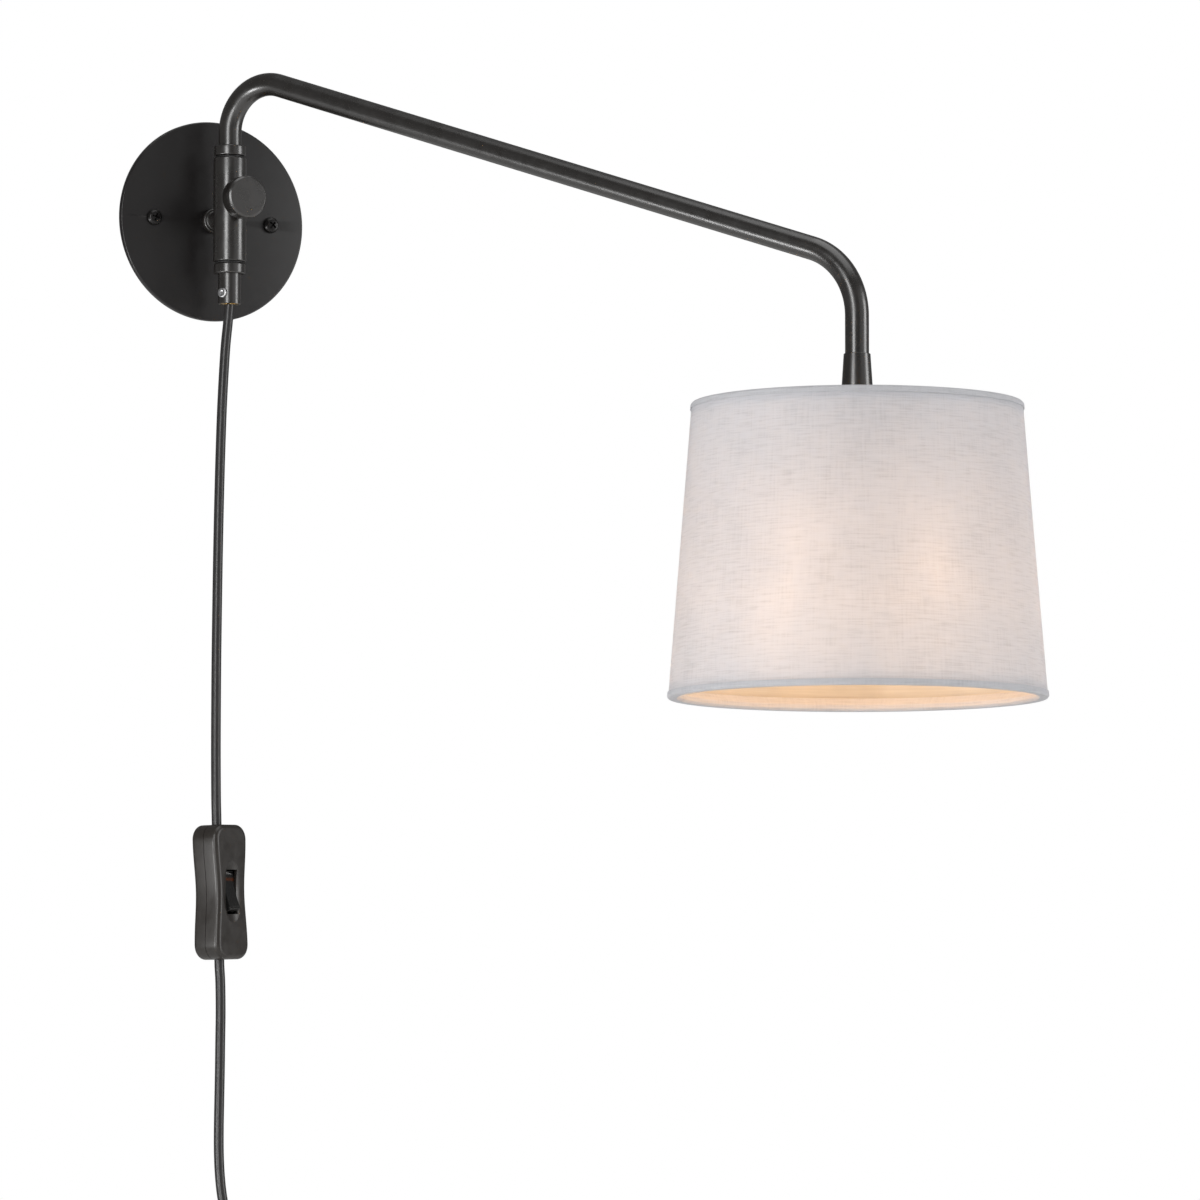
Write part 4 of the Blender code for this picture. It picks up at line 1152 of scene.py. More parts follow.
def make_floor():
    """A plain pale floor below the light."""
    low = CAD_BOX[0].z - 0.05
    floor = loose_object(
        moved(turned("floor", rounded([(0, 0), (3, 0), (3, -0.01), (0, -0.01)], 0), 128),
              at((0.1, -0.2, low)))
    )
    floor.data.materials.append(
        finish(
            "floor paint", (0.78, 0.78, 0.775), 0.6, mottle=0.015, patch=6, grain=300,
            emission_color=(1, 1, 0.995, 1), emission_strength=0.22,
        )
    )


class WALLLIGHT_OT_stage(bpy.types.Operator):
    """Camera, world, softboxes and floor"""

    bl_idname = "wall_light.stage"
    bl_label = "Stage"

    def execute(self, context):
        studio = context.scene.wall_light_studio
        context.scene.view_settings.view_transform = "Standard"
        make_camera()
        make_world(studio)
        make_floor()
        for name, values in SOFTBOXES.items():
            softbox(name.replace("_", " "), getattr(studio, name), *values)
        return {"FINISHED"}


# ------------------------------------------------------------------------ cord


def switch_entry(height):
    """The middle of the cord's way into the switch, at a height above its centre."""
    return SWITCH @ Vector((0, SWITCH_ENTRY_BACK, height))


def upper_route():
    """From the foot of the tube down to the switch."""
    drifts = [(-0.0493, 0), (-0.060, 0.0009), (-0.075, 0.0023), (-0.103, 0.0038)]
    drifts += [(-0.130, 0.0047), (-0.160, 0.0054), (-0.190, 0.0059), (-0.2145, 0.0062)]
    drifts += [(-0.245, 0.0065), (-0.270, 0.0066), (-0.298, 0.0066)]
    route = [(-0.79 * drift, SWIVEL.y + 0.64 * drift, z) for z, drift in drifts]
    end = SWITCH_LENGTH / 2
    return route + [switch_entry(end + reach) for reach in (0.016, 0.006, -CORD_IN_SWITCH)]


def ease(value):
    """0 before, 1 after, and a smooth rise between."""
    value = min(max(value, 0), 1)
    return value * value * (3 - 2 * value)


def coil_route(turns):
    """The coil: four turns outside from front to back, then three inside from back to front."""
    route = []
    count = math.ceil(turns * 18)
    for i in range(count + 1):
        t = turns * i / count
        angle = -2 * math.pi * t
        radius = COIL_OUTER - COIL_PITCH * ease((t - 3.30) / 0.20)
        column = sum(ease((t - k - 0.72) / 0.23) for k in (0, 1, 2))
        column -= sum(ease((t - k - 0.72) / 0.23) for k in (3, 4, 5))
        column -= 1.107 * ease((t - 6.70) / 0.20)
        depth = -(COIL_COLUMNS - 1) / 2 + column
        offset = Vector((math.cos(angle) * radius, depth * COIL_PITCH, math.sin(angle) * radius))
        route.append(COIL + offset)
    return route


def lower_route(turns):
    """From the switch down to the coil, round it, and out of its front down to the plug."""
    end = -SWITCH_LENGTH / 2
    route = [switch_entry(end + CORD_IN_SWITCH), switch_entry(end - 0.004)]
    route += [
        (-0.0016, -0.0211, -0.4260), (-0.0016, -0.0217, -0.4420), (-0.0020, -0.0222, -0.4580),
        (-0.0024, -0.0227, -0.4750), (-0.0029, -0.0232, -0.4912), (-0.0034, -0.0238, -0.5060),
        (-0.0037, -0.0246, -0.5200), (-0.0035, -0.0257, -0.5330), (-0.0026, -0.0271, -0.5450),
        (-0.0006, -0.0286, -0.5560), (0.0024, -0.0300, -0.5690), (0.0042, -0.0304, -0.5820),
    ]
    route += coil_route(turns)
    route += [
        (-0.0008, -0.0367, -0.5870), (0.0012, -0.0367, -0.5960), (0.0023, -0.0366, -0.6050),
        (0.0028, -0.0360, -0.6130), (0.0030, -0.0346, -0.6210), (0.0030, -0.0330, -0.6290),
        (0.0030, -0.0321, -0.6370), (0.0030, -0.0320, -0.6450), (0.0030, -0.0320, -0.6560),
        (PLUG.x, PLUG.y, PLUG.z + 0.0003),
    ]
    return route


def cord_curve(name, line, radius):
    curve = bpy.data.curves.new(name, "CURVE")
    curve.dimensions = "3D"
    curve.bevel_depth = radius
    curve.bevel_resolution = 6
    curve.use_fill_caps = True
    spline = curve.splines.new("POLY")
    spline.points.add(len(line) - 1)
    for point, place in zip(spline.points, line):
        point.co = (*place, 1)
    curve.materials.append(paint("cord sheath"))
    made = bpy.data.objects.new(name, curve)
    bpy.context.scene.collection.objects.link(made)
    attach(made, "wall_bracket")
    return made


class WALLLIGHT_OT_cords(bpy.types.Operator):
    """Cord from the arm to the switch, and from the switch to the plug by way of its coil"""

    bl_idname = "wall_light.cords"
    bl_label = "Cords"

    def execute(self, context):
        sizes = context.scene.wall_light_cord
        upper = smooth_line(upper_route(), 0.003)
        lower = smooth_line(lower_route(sizes.coil_turns), 0.0028)
        radius = sizes.diameter / 2
        first = cord_curve("upper_cord", upper, radius)
        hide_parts("cord_upper")
        second = cord_curve("lower_cord", lower, radius)
        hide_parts("cord_lower", "cord_coil", "cord_tail")
        context.scene["upper_cord_length"] = length_of(upper)
        context.scene["lower_cord_length"] = length_of(lower)
        return {"FINISHED"}


def declare_cords():
    """Works out the first point of the upper cord's route, and keeps nothing."""
    tuple(upper_route()[0])


# ------------------------------------------------------------------ wall plate


def cross_recess(top, size, depth, width):
    """The cutter of a cross recess: two tapered blades about Z, down from a height."""
    blades = []
    for turn in (0, math.pi / 2):
        shape = bmesh.new()
        bmesh.ops.create_cube(shape, size=1)
        for vertex in shape.verts:
            deep = vertex.co.z < 0
            reach = size * (0.45 if deep else 1.1)
            vertex.co = (
                vertex.co.x * reach, vertex.co.y * width, top - depth if deep else top + 0.0006
            )
        mesh = finish_mesh("blade", shape)
        blades.append(moved(mesh, Matrix.Rotation(turn, 4, "Z")))
    return blades


def threaded(name, screw, material, radius, length, pitch, depth, top):
    return grown(
        name, thread_tree(), screw, radius=radius, length=length, pitch=pitch, depth=depth,
        top=top, material=material,
    )


def repeated(name, original, points, facing, material, most_turn=0.0, seed=3):
    """One mesh of copies of a screw or pin on points, facing one way."""
    model = loose_object(original)
    made = grown(
        name, copies_tree(), points_mesh(name, points), original=model, facing=tuple(facing),
        most_turn=most_turn, seed=seed, material=material,
    )
    discard(model)
    return made


class WALLLIGHT_OT_plate(bpy.types.Operator):
    """Wall plate with its screws and the stub that carries the swivel"""

    bl_idname = "wall_light.plate"
    bl_label = "Wall Plate"

    def execute(self, context):
        section = [(0, PLATE_THICKNESS), (PLATE_RADIUS, PLATE_THICKNESS, 0.0009)]
        section += [(PLATE_RADIUS, 0, 0.0004), (0, 0)]
        plate = turned("plate", rounded(section, 0), 192)
        screw_places = [middle("wall_screw_left"), middle("wall_screw_right")]
        holes = [
            moved(plain_rod("hole", 0.0023, 0.02, -0.02, 0), at((place.x, 0, 0)))
            for place in screw_places
        ]
        sink = turned("sink", [(0, 0.0022), (0.0021, 0.0022), (0.0046, -0.0003), (0, -0.0003)])
        plate = carved(plate, [*holes, sink])
        piece(plate, paint("plate paint"), "wall_bracket", ["wall_plate"], OUTWARD)
        stub_screw = turned(
            "stub_screw",
            rounded([(0, 0.0030), (0.0015, 0.0030), (0.0019, 0.0023), (0.0043, 0.0002, 0.0003),
                     (0.0040, 0.0001), (0, 0.0001)], 0),
            64,
        )
        stub_screw = carved(
            stub_screw,
            [moved(blade, Matrix.Rotation(math.pi, 4, "X"))
             for blade in cross_recess(0, 0.0024, 0.0016, 0.0008)],
        )
        piece(stub_screw, paint("zinc steel"), "wall_bracket", (), OUTWARD)
        self.make_screws(screw_places)
        self.make_stub()
        return {"FINISHED"}

    def make_screws(self, places):
        seat = PLATE_THICKNESS + GAP
        top = seat + SCREW_HEAD_HEIGHT
        section = [(0, top), (0.0034, top - 0.0003, 0.0016)]
        section += [(SCREW_HEAD_RADIUS, seat + 0.0011, 0.0010)]
        root = SCREW_SHANK_RADIUS - 0.0003
        section += [(SCREW_HEAD_RADIUS, seat, 0.0002), (root, seat)]
        section += [(root, -SCREW_REACH + 0.005), (0, -SCREW_REACH)]
        screw = turned("wall_screw", rounded(section, 0), 64)
        screw = carved(screw, cross_recess(top, 0.0050, 0.0021, 0.00110))
        black = paint("screw black")
        screw = threaded(
            "wall_screw", screw, black, root, SCREW_REACH - 0.006, 0.0018, 0.0003, -0.0008,
        )
        points = [(place.x, 0, 0) for place in places]
        screws = repeated("wall_screws", screw, points, (0, -1, 0), black, 2.4, 5)
        piece(
            screws, black, "wall_bracket", ["wall_screw_left", "wall_screw_right"]
        )

    def make_stub(self):
        foot = PLATE_THICKNESS + GAP
        base = foot + STUB_FLANGE
        end = -SWIVEL.y - BARREL_RADIUS + 0.004
        section = [(0, end), (STUB_NECK_RADIUS, end), (STUB_NECK_RADIUS, base, 0.0010)]
        section += [(STUB_FLANGE_RADIUS, base, 0.0008), (STUB_FLANGE_RADIUS, foot, 0.0003)]
        section.append((0, foot))
        stub = moved(turned("stub", rounded(section, 0), 96), OUTWARD)
        saddle = moved(plain_rod("saddle", BARREL_RADIUS + GAP, 0.02, -0.02, 0, 128), at(SWIVEL))
        piece(
            carved(stub, [saddle]), paint("bronze black"), "wall_bracket",
            ["standoff"],
        )


# ---------------------------------------------------------------------- swivel


class WALLLIGHT_OT_swivel(bpy.types.Operator):
    """Swivel barrel with its bushes, and the collars that carry the arm in it"""

    bl_idname = "wall_light.swivel"
    bl_label = "Swivel"

    def execute(self, context):
        bronze = paint("bronze black")
        low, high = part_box("swivel_barrel")
        barrel = sleeve("barrel", BARREL_RADIUS, BARREL_BORE, high.z, low.z, 0.0006, 128)
        hole = plain_rod("hole", STUD_RADIUS + GAP, 0.02, 0.004, 0)
        hole.transform(at((0, 0, THUMB.z), OUTWARD))
        piece(
            carved(barrel, [hole]), bronze, "wall_bracket", ["swivel_barrel"],
            at(SWIVEL),
        )
        for name, mirror in (("upper_bush", 1), ("lower_bush", -1)):
            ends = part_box(name)
            near, far = (ends[1].z, ends[0].z) if mirror > 0 else (ends[0].z, ends[1].z)
            flange = COLLAR_RADIUS - 0.0007
            outer = BARREL_BORE - 0.0002
            inner = TUBE_RADIUS + 0.0002
            lip = near - mirror * 0.0006
            section = [(flange, near, 0.0002), (flange, lip, 0.0002), (outer, lip), (outer, far)]
            section += [(inner, far, 0.0002), (inner, near, 0.0003)]
            bush = turned(f"{name}_ring", rounded(section, 0, closed=True), 96)
            piece(bush, paint("black nylon"), "wall_bracket", [name], at(SWIVEL))
        grub_places = []
        for name in ("top_collar", "bottom_collar"):
            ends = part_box(name)
            height = (ends[0].z + ends[1].z) / 2
            collar = sleeve(
                f"{name}_ring", COLLAR_RADIUS, TUBE_RADIUS + GAP, ends[1].z, ends[0].z, 0.0007, 128
            )
            hole = plain_rod("hole", 0.0018, 0.012, 0.003, 0)
            hole.transform(at((0, 0, height)) @ Matrix.Rotation(math.pi / 2, 4, "Y"))
            collar = carved(collar, [hole])
            piece(collar, bronze, "swing_arm", [name], ARM)
            grub_places.append(ARM @ Vector((0, 0, height)))
        top = COLLAR_RADIUS - 0.0004
        grub = plain_rod("grub", 0.0015, top, TUBE_RADIUS + GAP, 0.0003, 32)
        grub = carved(grub, [plain_rod("socket", 0.0008, top + 0.001, top - 0.0009, 0, 6)])
        facing = ARM.to_3x3() @ Vector((1, 0, 0))
        steel = paint("zinc steel")
        screws = repeated("collar_grub_screws", grub, grub_places, facing, steel, 1.0, 8)
        piece(
            screws, steel, "swing_arm",
            ["top_collar_grub_screw", "bottom_collar_grub_screw"],
        )
        return {"FINISHED"}


class WALLLIGHT_OT_thumbscrew(bpy.types.Operator):
    """Round knob on a threaded stud that locks the arm's swing"""

    bl_idname = "wall_light.thumbscrew"
    bl_label = "Thumbscrew"

    def execute(self, context):
        face = SWIVEL.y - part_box("thumbscrew")[0].y
        tip = SWIVEL.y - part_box("thumbscrew")[1].y
        boss = KNOB_BACK - 0.0015
        section = [(0, face - 0.0001), (KNOB_RADIUS - 0.0013, face, 0.0004)]
        section += [(KNOB_RADIUS - 0.0002, face - 0.0009, 0.0005)]
        section += [(KNOB_RADIUS, face - 0.0030, 0.0010), (KNOB_RADIUS, KNOB_BACK, 0.0008)]
        section += [(0.0045, KNOB_BACK, 0.0004), (0.0045, boss, 0.0003), (THREAD_ROOT, boss)]
        section += [(THREAD_ROOT, tip + 0.0004), (0.0014, tip), (0, tip)]
        bronze = paint("bronze black")
        knob = turned("thumbscrew_knob", rounded(section, 0), 128)
        knob = threaded(
            "thumbscrew_knob", knob, bronze, THREAD_ROOT, boss - tip - 0.0006, SCREW_PITCH, 0.0002,
            boss,
        )
        place = at((SWIVEL.x, SWIVEL.y, THUMB.z), OUTWARD)
        piece(knob, bronze, "thumbscrew", ["thumbscrew"], place)
        return {"FINISHED"}


# ------------------------------------------------------------------------- arm


class WALLLIGHT_OT_arm(bpy.types.Operator):
    """Bent arm tube, with the grip and bright screw that hold the cord in its foot"""

    bl_idname = "wall_light.arm"
    bl_label = "Arm"

    def execute(self, context):
        line = [(0, 0, TUBE_FOOT), (0, 0, ARM_TOP_CORNER)]
        line += [(0, -ARM_REACH, ARM_OUTER_CORNER), (0, -ARM_REACH, TUBE_END)]
        bronze = paint("bronze black")
        skin = grown(
            "arm", bent_tube_tree(), points_mesh("arm", line, chained=True), radius=TUBE_RADIUS,
            top_bend=TOP_BEND, outer_bend=OUTER_BEND, sides=72, material=bronze,
        )
        screw_height = middle("cord_grip_screw").z
        left = at((0, 0, screw_height)) @ Matrix.Rotation(-math.pi / 2, 4, "Y")
        hole = moved(plain_rod("hole", 0.0019, 0.012, 0.003, 0), left)
        tube = carved(walled(skin, TUBE_WALL), [hole])
        piece(tube, bronze, "swing_arm", ["arm_tube"], ARM)
        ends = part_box("cord_grip")
        grip = sleeve(
            "tube_grip", TUBE_RADIUS - TUBE_WALL - 0.0002, GRIP_BORE, ends[1].z, ends[0].z, 0.0003
        )
        hole = moved(plain_rod("hole", 0.0018, 0.012, 0.001, 0), left)
        piece(carved(grip, [hole]), paint("yellow brass"), "swing_arm", ["cord_grip"], ARM)
        top = GRIP_SCREW_TOP
        seat = TUBE_RADIUS + 0.0002
        section = [(0, top), (GRIP_SCREW_HEAD, top, 0.0005), (GRIP_SCREW_HEAD, seat, 0.0002)]
        section += [(GRIP_SCREW_SHANK, seat), (GRIP_SCREW_SHANK, GRIP_BORE), (0, GRIP_BORE)]
        screw = turned("grip_screw", rounded(section, 0), 64)
        socket = plain_rod("socket", 0.0014, top + 0.001, top - 0.0011, 0, 6)
        screw = carved(screw, [socket])
        piece(
            screw, paint("bright steel"), "swing_arm", ["cord_grip_screw"],
            ARM @ left,
        )
        return {"FINISHED"}


# ------------------------------------------------------------------ lampholder


class WALLLIGHT_OT_lampholder(bpy.types.Operator):
    """Cover, threaded skirt and shade ring of the lampholder"""

    bl_idname = "wall_light.lampholder"
    bl_label = "Lampholder"

    def execute(self, context):
        low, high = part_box("lampholder_cover")
        outer = [(0.0071, high.z, 0.0003), (0.0083, -0.1205, 0.010), (0.0098, -0.1300, 0.008)]
        outer += [(0.0124, -0.1370, 0.006), (0.0148, -0.1425, 0.006)]
        outer += [(COVER_RADIUS, -0.1465, 0.004), (COVER_RADIUS, low.z, 0.0003)]
        on_tube = TUBE_RADIUS + 0.0002
        inner = [
            (max(radius - COVER_WALL, on_tube), height, bend) for radius, height, bend in outer[1:]
        ]
        section = outer + inner[::-1] + [(on_tube, high.z, 0.0002)]
        cover = turned("holder_cover", rounded(section, 0, closed=True), 128)
        piece(
            cover, paint("bronze black"), "swing_arm", ["lampholder_cover"],
            at(LAMP),
        )
        self.make_skirt()
        self.make_ring()
        return {"FINISHED"}

    def make_skirt(self):
        low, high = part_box("lampholder_skirt")
        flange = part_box("shade_frame")[0].z
        seat = FITTER_TOP + GAP
        section = [(COVER_RADIUS - 0.0004, high.z, 0.0003), (COVER_RADIUS - 0.0004, seat, 0.0003)]
        section += [(HOLDER_RADIUS - 0.0003, seat), (HOLDER_RADIUS - 0.0003, low.z, 0.0006)]
        section += [(0.0105, low.z, 0.0004), (0.0105, high.z)]
        black = paint("holder plastic")
        skirt = turned("holder_skirt", rounded(section, 0, closed=True), 96)
        skirt = threaded(
            "holder_skirt", skirt, black, HOLDER_RADIUS - 0.0004, 0.0200, 0.0025, 0.0005,
            flange - 0.0110,
        )
        piece(skirt, black, "swing_arm", ["lampholder_skirt"], at(LAMP))

    def make_ring(self):
        low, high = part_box("shade_ring")
        section = [(0.0180, high.z, 0.0006), (0.0180, high.z - 0.0016, 0.0004)]
        section += [(0.0168, high.z - 0.0024, 0.0004), (0.0168, low.z, 0.0008)]
        section += [(HOLDER_RADIUS + 0.0002, low.z, 0.0003)]
        section += [(HOLDER_RADIUS + 0.0002, high.z, 0.0003)]
        ring = turned("holder_ring", rounded(section, 0, closed=True), 96)
        notches = []
        for i in range(24):
            notch = plain_rod("notch", 0.0006, -0.0031 + high.z, low.z - 0.001, 0, 12)
            notch.transform(Matrix.Rotation(math.radians(15 * i), 4, "Z") @ at((0.0170, 0, 0)))
            notches.append(notch)
        ring = carved(ring, [joined("notches", *notches)])
        piece(
            ring, paint("holder plastic"), "swing_arm", ["shade_ring"],
            at(LAMP),
        )


# ----------------------------------------------------------------------- shade


def shade_radius(height):
    """The shade's outer radius at a height."""
    share = (SHADE_TOP - height) / (SHADE_TOP - SHADE_FOOT)
    return SHADE_TOP_RADIUS + (SHADE_FOOT_RADIUS - SHADE_TOP_RADIUS) * share


def sway(angle, height):
    """How far the hand-made cloth is off a true cone."""
    share = (SHADE_TOP - height) / (SHADE_TOP - SHADE_FOOT)
    belly = math.sin(math.pi * share)
    return 0.00022 * belly * (math.sin(2 * angle + 0.7) + 0.6 * math.sin(5 * angle + 2.1))


def cloth_shell(name, depth, thickness, start=0.0, sweep=2 * math.pi, steps=288, rows=28,
                top=None, foot=None):
    """Cloth on the shade's cone, whole or a strip, with its own map in metres."""
    top = SHADE_TOP if top is None else top
    foot = SHADE_FOOT if foot is None else foot
    whole = sweep > 6.28
    columns = steps if whole else steps + 1
    shape = bmesh.new()
    layer = shape.loops.layers.uv.new("cloth")
    grid = {}
    for side, inset in enumerate((depth, depth + thickness)):
        for row in range(rows + 1):
            height = top + (foot - top) * row / rows
            for column in range(columns):
                angle = start + sweep * column / steps
                radius = shade_radius(height) - inset + sway(angle, height)
                grid[side, row, column] = shape.verts.new(
                    (radius * math.cos(angle), radius * math.sin(angle), height)
                )

    def face(corners):
        made = shape.faces.new([grid[s, r, c % columns] for s, r, c in corners])
        for loop, (_, row, column) in zip(made.loops, corners):
            height = top + (foot - top) * row / rows
            angle = start + sweep * column / steps
            loop[layer].uv = (angle * SHADE_MEAN_RADIUS, height)

    for row in range(rows):
        for column in range(steps):
            after = column + 1
            for side in (0, 1):
                face([(side, row, column), (side, row, after), (side, row + 1, after),
                      (side, row + 1, column)])
    for column in range(steps):
        for row in (0, rows):
            face([(0, row, column), (0, row, column + 1), (1, row, column + 1),
                  (1, row, column)])
    if not whole:
        for row in range(rows):
            for column in (0, steps):
                face([(0, row, column), (0, row + 1, column), (1, row + 1, column),
                      (1, row, column)])
    return finish_mesh(name, shape)


def folded_strip(name, line, thickness, angle_steps=256):
    """A strip of cloth with a folded section, turned round the shade, with a map in metres."""
    line = rounded(line, 0.0006, steps=4)
    sides = []
    for way in (0.5, -0.5):
        side = []
        for i, point in enumerate(line):
            along = line[min(i + 1, len(line) - 1)] - line[max(i - 1, 0)]
            normal = Vector((-along.y, along.x)).normalized()
            side.append(point + normal * thickness * way)
        sides.append(side)
    mesh = turned(name, sides[0] + sides[1][::-1], angle_steps)
    layer = mesh.uv_layers.new(name="cloth")
    for polygon in mesh.polygons:
        first = None
        for index in polygon.loop_indices:
            place = mesh.vertices[mesh.loops[index].vertex_index].co
            angle = math.atan2(place.y, place.x)
            first = angle if first is None else first
            angle = first + math.remainder(angle - first, 2 * math.pi)
            radius = math.hypot(place.x, place.y)
            across = angle * SHADE_MEAN_RADIUS
            layer.data[index].uv = (across, place.z + radius - SHADE_MEAN_RADIUS)
    return mesh


def ring_line(radius, height, steps=160):
    angles = [2 * math.pi * i / steps for i in range(steps)]
    return [(radius * math.cos(a), radius * math.sin(a), height) for a in angles]


class WALLLIGHT_OT_shade_frame(bpy.types.Operator):
    """Coated wire rings, spokes and the fitter ring that sits on the lampholder"""

    bl_idname = "wall_light.shade_frame"
    bl_label = "Shade Frame"

    def execute(self, context):
        white = paint("white wire coating")
        height = SHADE_TOP - WIRE_RADIUS
        radius = shade_radius(height) - WIRE_INSET
        fitter = sleeve(
            "fitter", 0.0190, HOLDER_RADIUS + GAP, FITTER_TOP, FITTER_TOP - 0.0015, 0.0004
        )
        line = [(radius + 0.0002, height), (0.070, height - 0.0005), (0.045, height - 0.007)]
        line += [(0.026, height - 0.0205), (0.0170, FITTER_TOP - 0.0006)]
        line = rounded([(*point, 0.012) for point in line], 0, steps=8)
        spokes = grown(
            "spokes", spokes_tree(),
            points_mesh("spokes", [(x, 0, z) for x, z in line], chained=True), count=3,
            radius=0.0013, material=white,
        )
        spokes.transform(Matrix.Rotation(math.pi / 2, 4, "Z"))
        ring = swept("ring", ring_line(radius, height), WIRE_RADIUS, 16, closed=True)
        frame_mesh = joined("shade_top_wires", ring, spokes, fitter)
        piece(frame_mesh, white, "swing_arm", ["shade_frame"], at(LAMP))
        height = SHADE_FOOT + WIRE_RADIUS
        ring = swept(
            "shade_foot_wire", ring_line(shade_radius(height) - WIRE_INSET, height),
            WIRE_RADIUS, 16, closed=True,
        )
        piece(ring, white, "swing_arm", ["shade_foot_ring"], at(LAMP))
        return {"FINISHED"}


class WALLLIGHT_OT_shade_cloth(bpy.types.Operator):
    """Linen, liner and rolled hems of the shade"""

    bl_idname = "wall_light.shade_cloth"
    bl_label = "Shade Cloth"

    def execute(self, context):
        place = at(LAMP)
        hem = paint("hem linen")
        linen = piece(
            cloth_shell("shade_linen", 0, CLOTH), paint("woven linen"), "swing_arm",
            ["shade_fabric"], place,
        )
        liner = cloth_shell("shade_lining", LINER_INSET, LINER, steps=192)
        piece(
            liner, paint("shade lining"), "swing_arm", ["shade_liner"], place
        )
        seam = cloth_shell(
            "lining_seam", LINER_INSET + LINER, 0.0003, SEAM_ANGLE, 0.0095 / SHADE_FOOT_RADIUS, 6,
            24,
        )
        piece(seam, paint("shade lining"), "swing_arm", (), place)
        lap = cloth_shell(
            "linen_lap", -0.00045, 0.0004, SEAM_ANGLE - 0.04, 0.011 / SHADE_FOOT_RADIUS, 6, 24,
        )
        lap = piece(lap, paint("woven linen"), "swing_arm", (), place)
        hems = [
            piece(self.hem_mesh("top_hem", SHADE_TOP, 1), hem, "swing_arm", (), place),
            piece(self.hem_mesh("foot_hem", SHADE_FOOT, -1), hem, "swing_arm", (), place),
        ]
        return {"FINISHED"}

    def hem_mesh(self, name, edge, way):
        """Cloth rolled over a wire ring. way is 1 at the top and -1 at the foot."""
        section = [(0.00035, -0.0026), (0.0004, -0.0004), (-0.0004, 0.0005), (-0.0044, 0.0005)]
        section += [(-0.0054, -0.0008), (-0.0054, -0.0028), (-0.0022, -0.0064)]
        line = []
        for out, down in section:
            height = edge + way * down
            line.append((shade_radius(height) + out, height))
        return folded_strip(name, line, 0.0004)


# ------------------------------------------------------------------------ bulb


def bulb_outline(inset):
    """The candle bulb's outline from its neck down to its tip, drawn in by an inset."""
    low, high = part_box("bulb_glass")
    points = []
    for i in range(17):
        t = i / 16
        radius = BULB_NECK + (BULB_RADIUS - BULB_NECK) * math.sin(math.pi / 2 * t) ** 1.4
        points.append((radius - inset, high.z + (BULB_WIDEST - high.z) * t))
    for i in range(1, 21):
        t = i / 20
        radius = BULB_RADIUS * max(math.cos(math.pi / 2 * t), 0) ** 0.85
        height = BULB_WIDEST + (low.z + inset - BULB_WIDEST) * math.sin(math.pi / 2 * t)
        points.append((max(radius - inset, 0), height))
    points[-1] = (0, low.z + inset)
    return points


class WALLLIGHT_OT_bulb(bpy.types.Operator):
    """Opal candle bulb with its screw cap and light"""

    bl_idname = "wall_light.bulb"
    bl_label = "Bulb"

    def execute(self, context):
        shade = context.scene.wall_light_shade
        glass = piece(
            turned("bulb_envelope", [*bulb_outline(0), *bulb_outline(BULB_WALL)[::-1]], 96),
            paint("opal glass"), "swing_arm", ["bulb_glass"], at(LAMP),
        )
        glass.visible_shadow = False
        low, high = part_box("bulb_cap")
        outline = [(0, high.z), (0.0040, high.z, 0.0004), (BULB_NECK, high.z - 0.0022, 0.0006)]
        turns = 5.5
        count = 66
        start = high.z - 0.0030
        for i in range(count + 1):
            t = i / count
            wave = 0.0004 * math.cos(2 * math.pi * turns * t)
            outline.append((0.0064 + wave, start + (low.z + 0.0012 - start) * t))
        outline += [(0.0069, low.z, 0.0002), (0, low.z)]
        cap = turned("bulb_screw_cap", rounded(outline, 0), 72)
        piece(cap, paint("bright steel"), "swing_arm", ["bulb_cap"], at(LAMP))
        data = bpy.data.lights.new("bulb light", "POINT")
        data.color = shade.lamp_colour
        data.energy = shade.lamp_power
        data.shadow_soft_size = 0.015
        light = bpy.data.objects.new("bulb light", data)
        light.location = on_axis(LAMP, BULB_WIDEST)
        light.visible_camera = False
        context.scene.collection.objects.link(light)
        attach(light, "swing_arm")
        return {"FINISHED"}


# ---------------------------------------------------------------------- switch


def waisted_outline(length, width, waist, corner, steps=14):
    """The switch's outline: rounded ends and sides that draw in to a waist."""
    half = length / 2
    side = []
    for i in range(steps * 2 + 1):
        height = (half - corner) * (1 - i / steps)
        share = 1 - abs(height) / (half - corner)
        side.append((waist / 2 + (width - waist) / 2 * (1 - ease(share)), height))
    outline = [(-width / 2 + corner, half), (width / 2 - corner, half)]
    made = []
    for k in range(1, 9):
        a = math.pi / 2 * (1 - k / 9)
        made.append(
            (width / 2 - corner + corner * math.cos(a), half - corner + corner * math.sin(a))
        )
    right = [outline[1], *made, *side]
    right += [(x, -z) for x, z in reversed([outline[1], *made])]
    return right + [(-x, z) for x, z in reversed(right)]


def layered(name, layers):
    """A solid of outlines with as many points each, stacked at heights along its own Z."""
    shape = bmesh.new()
    rings = [[shape.verts.new((x, y, z)) for x, y in outline] for outline, z in layers]
    shape.faces.new(rings[0])
    shape.faces.new(reversed(rings[-1]))
    for low, high in zip(rings, rings[1:]):
        for i in range(len(low)):
            j = (i + 1) % len(low)
            shape.faces.new((low[i], low[j], high[j], high[i]))
    return finish_mesh(name, shape)


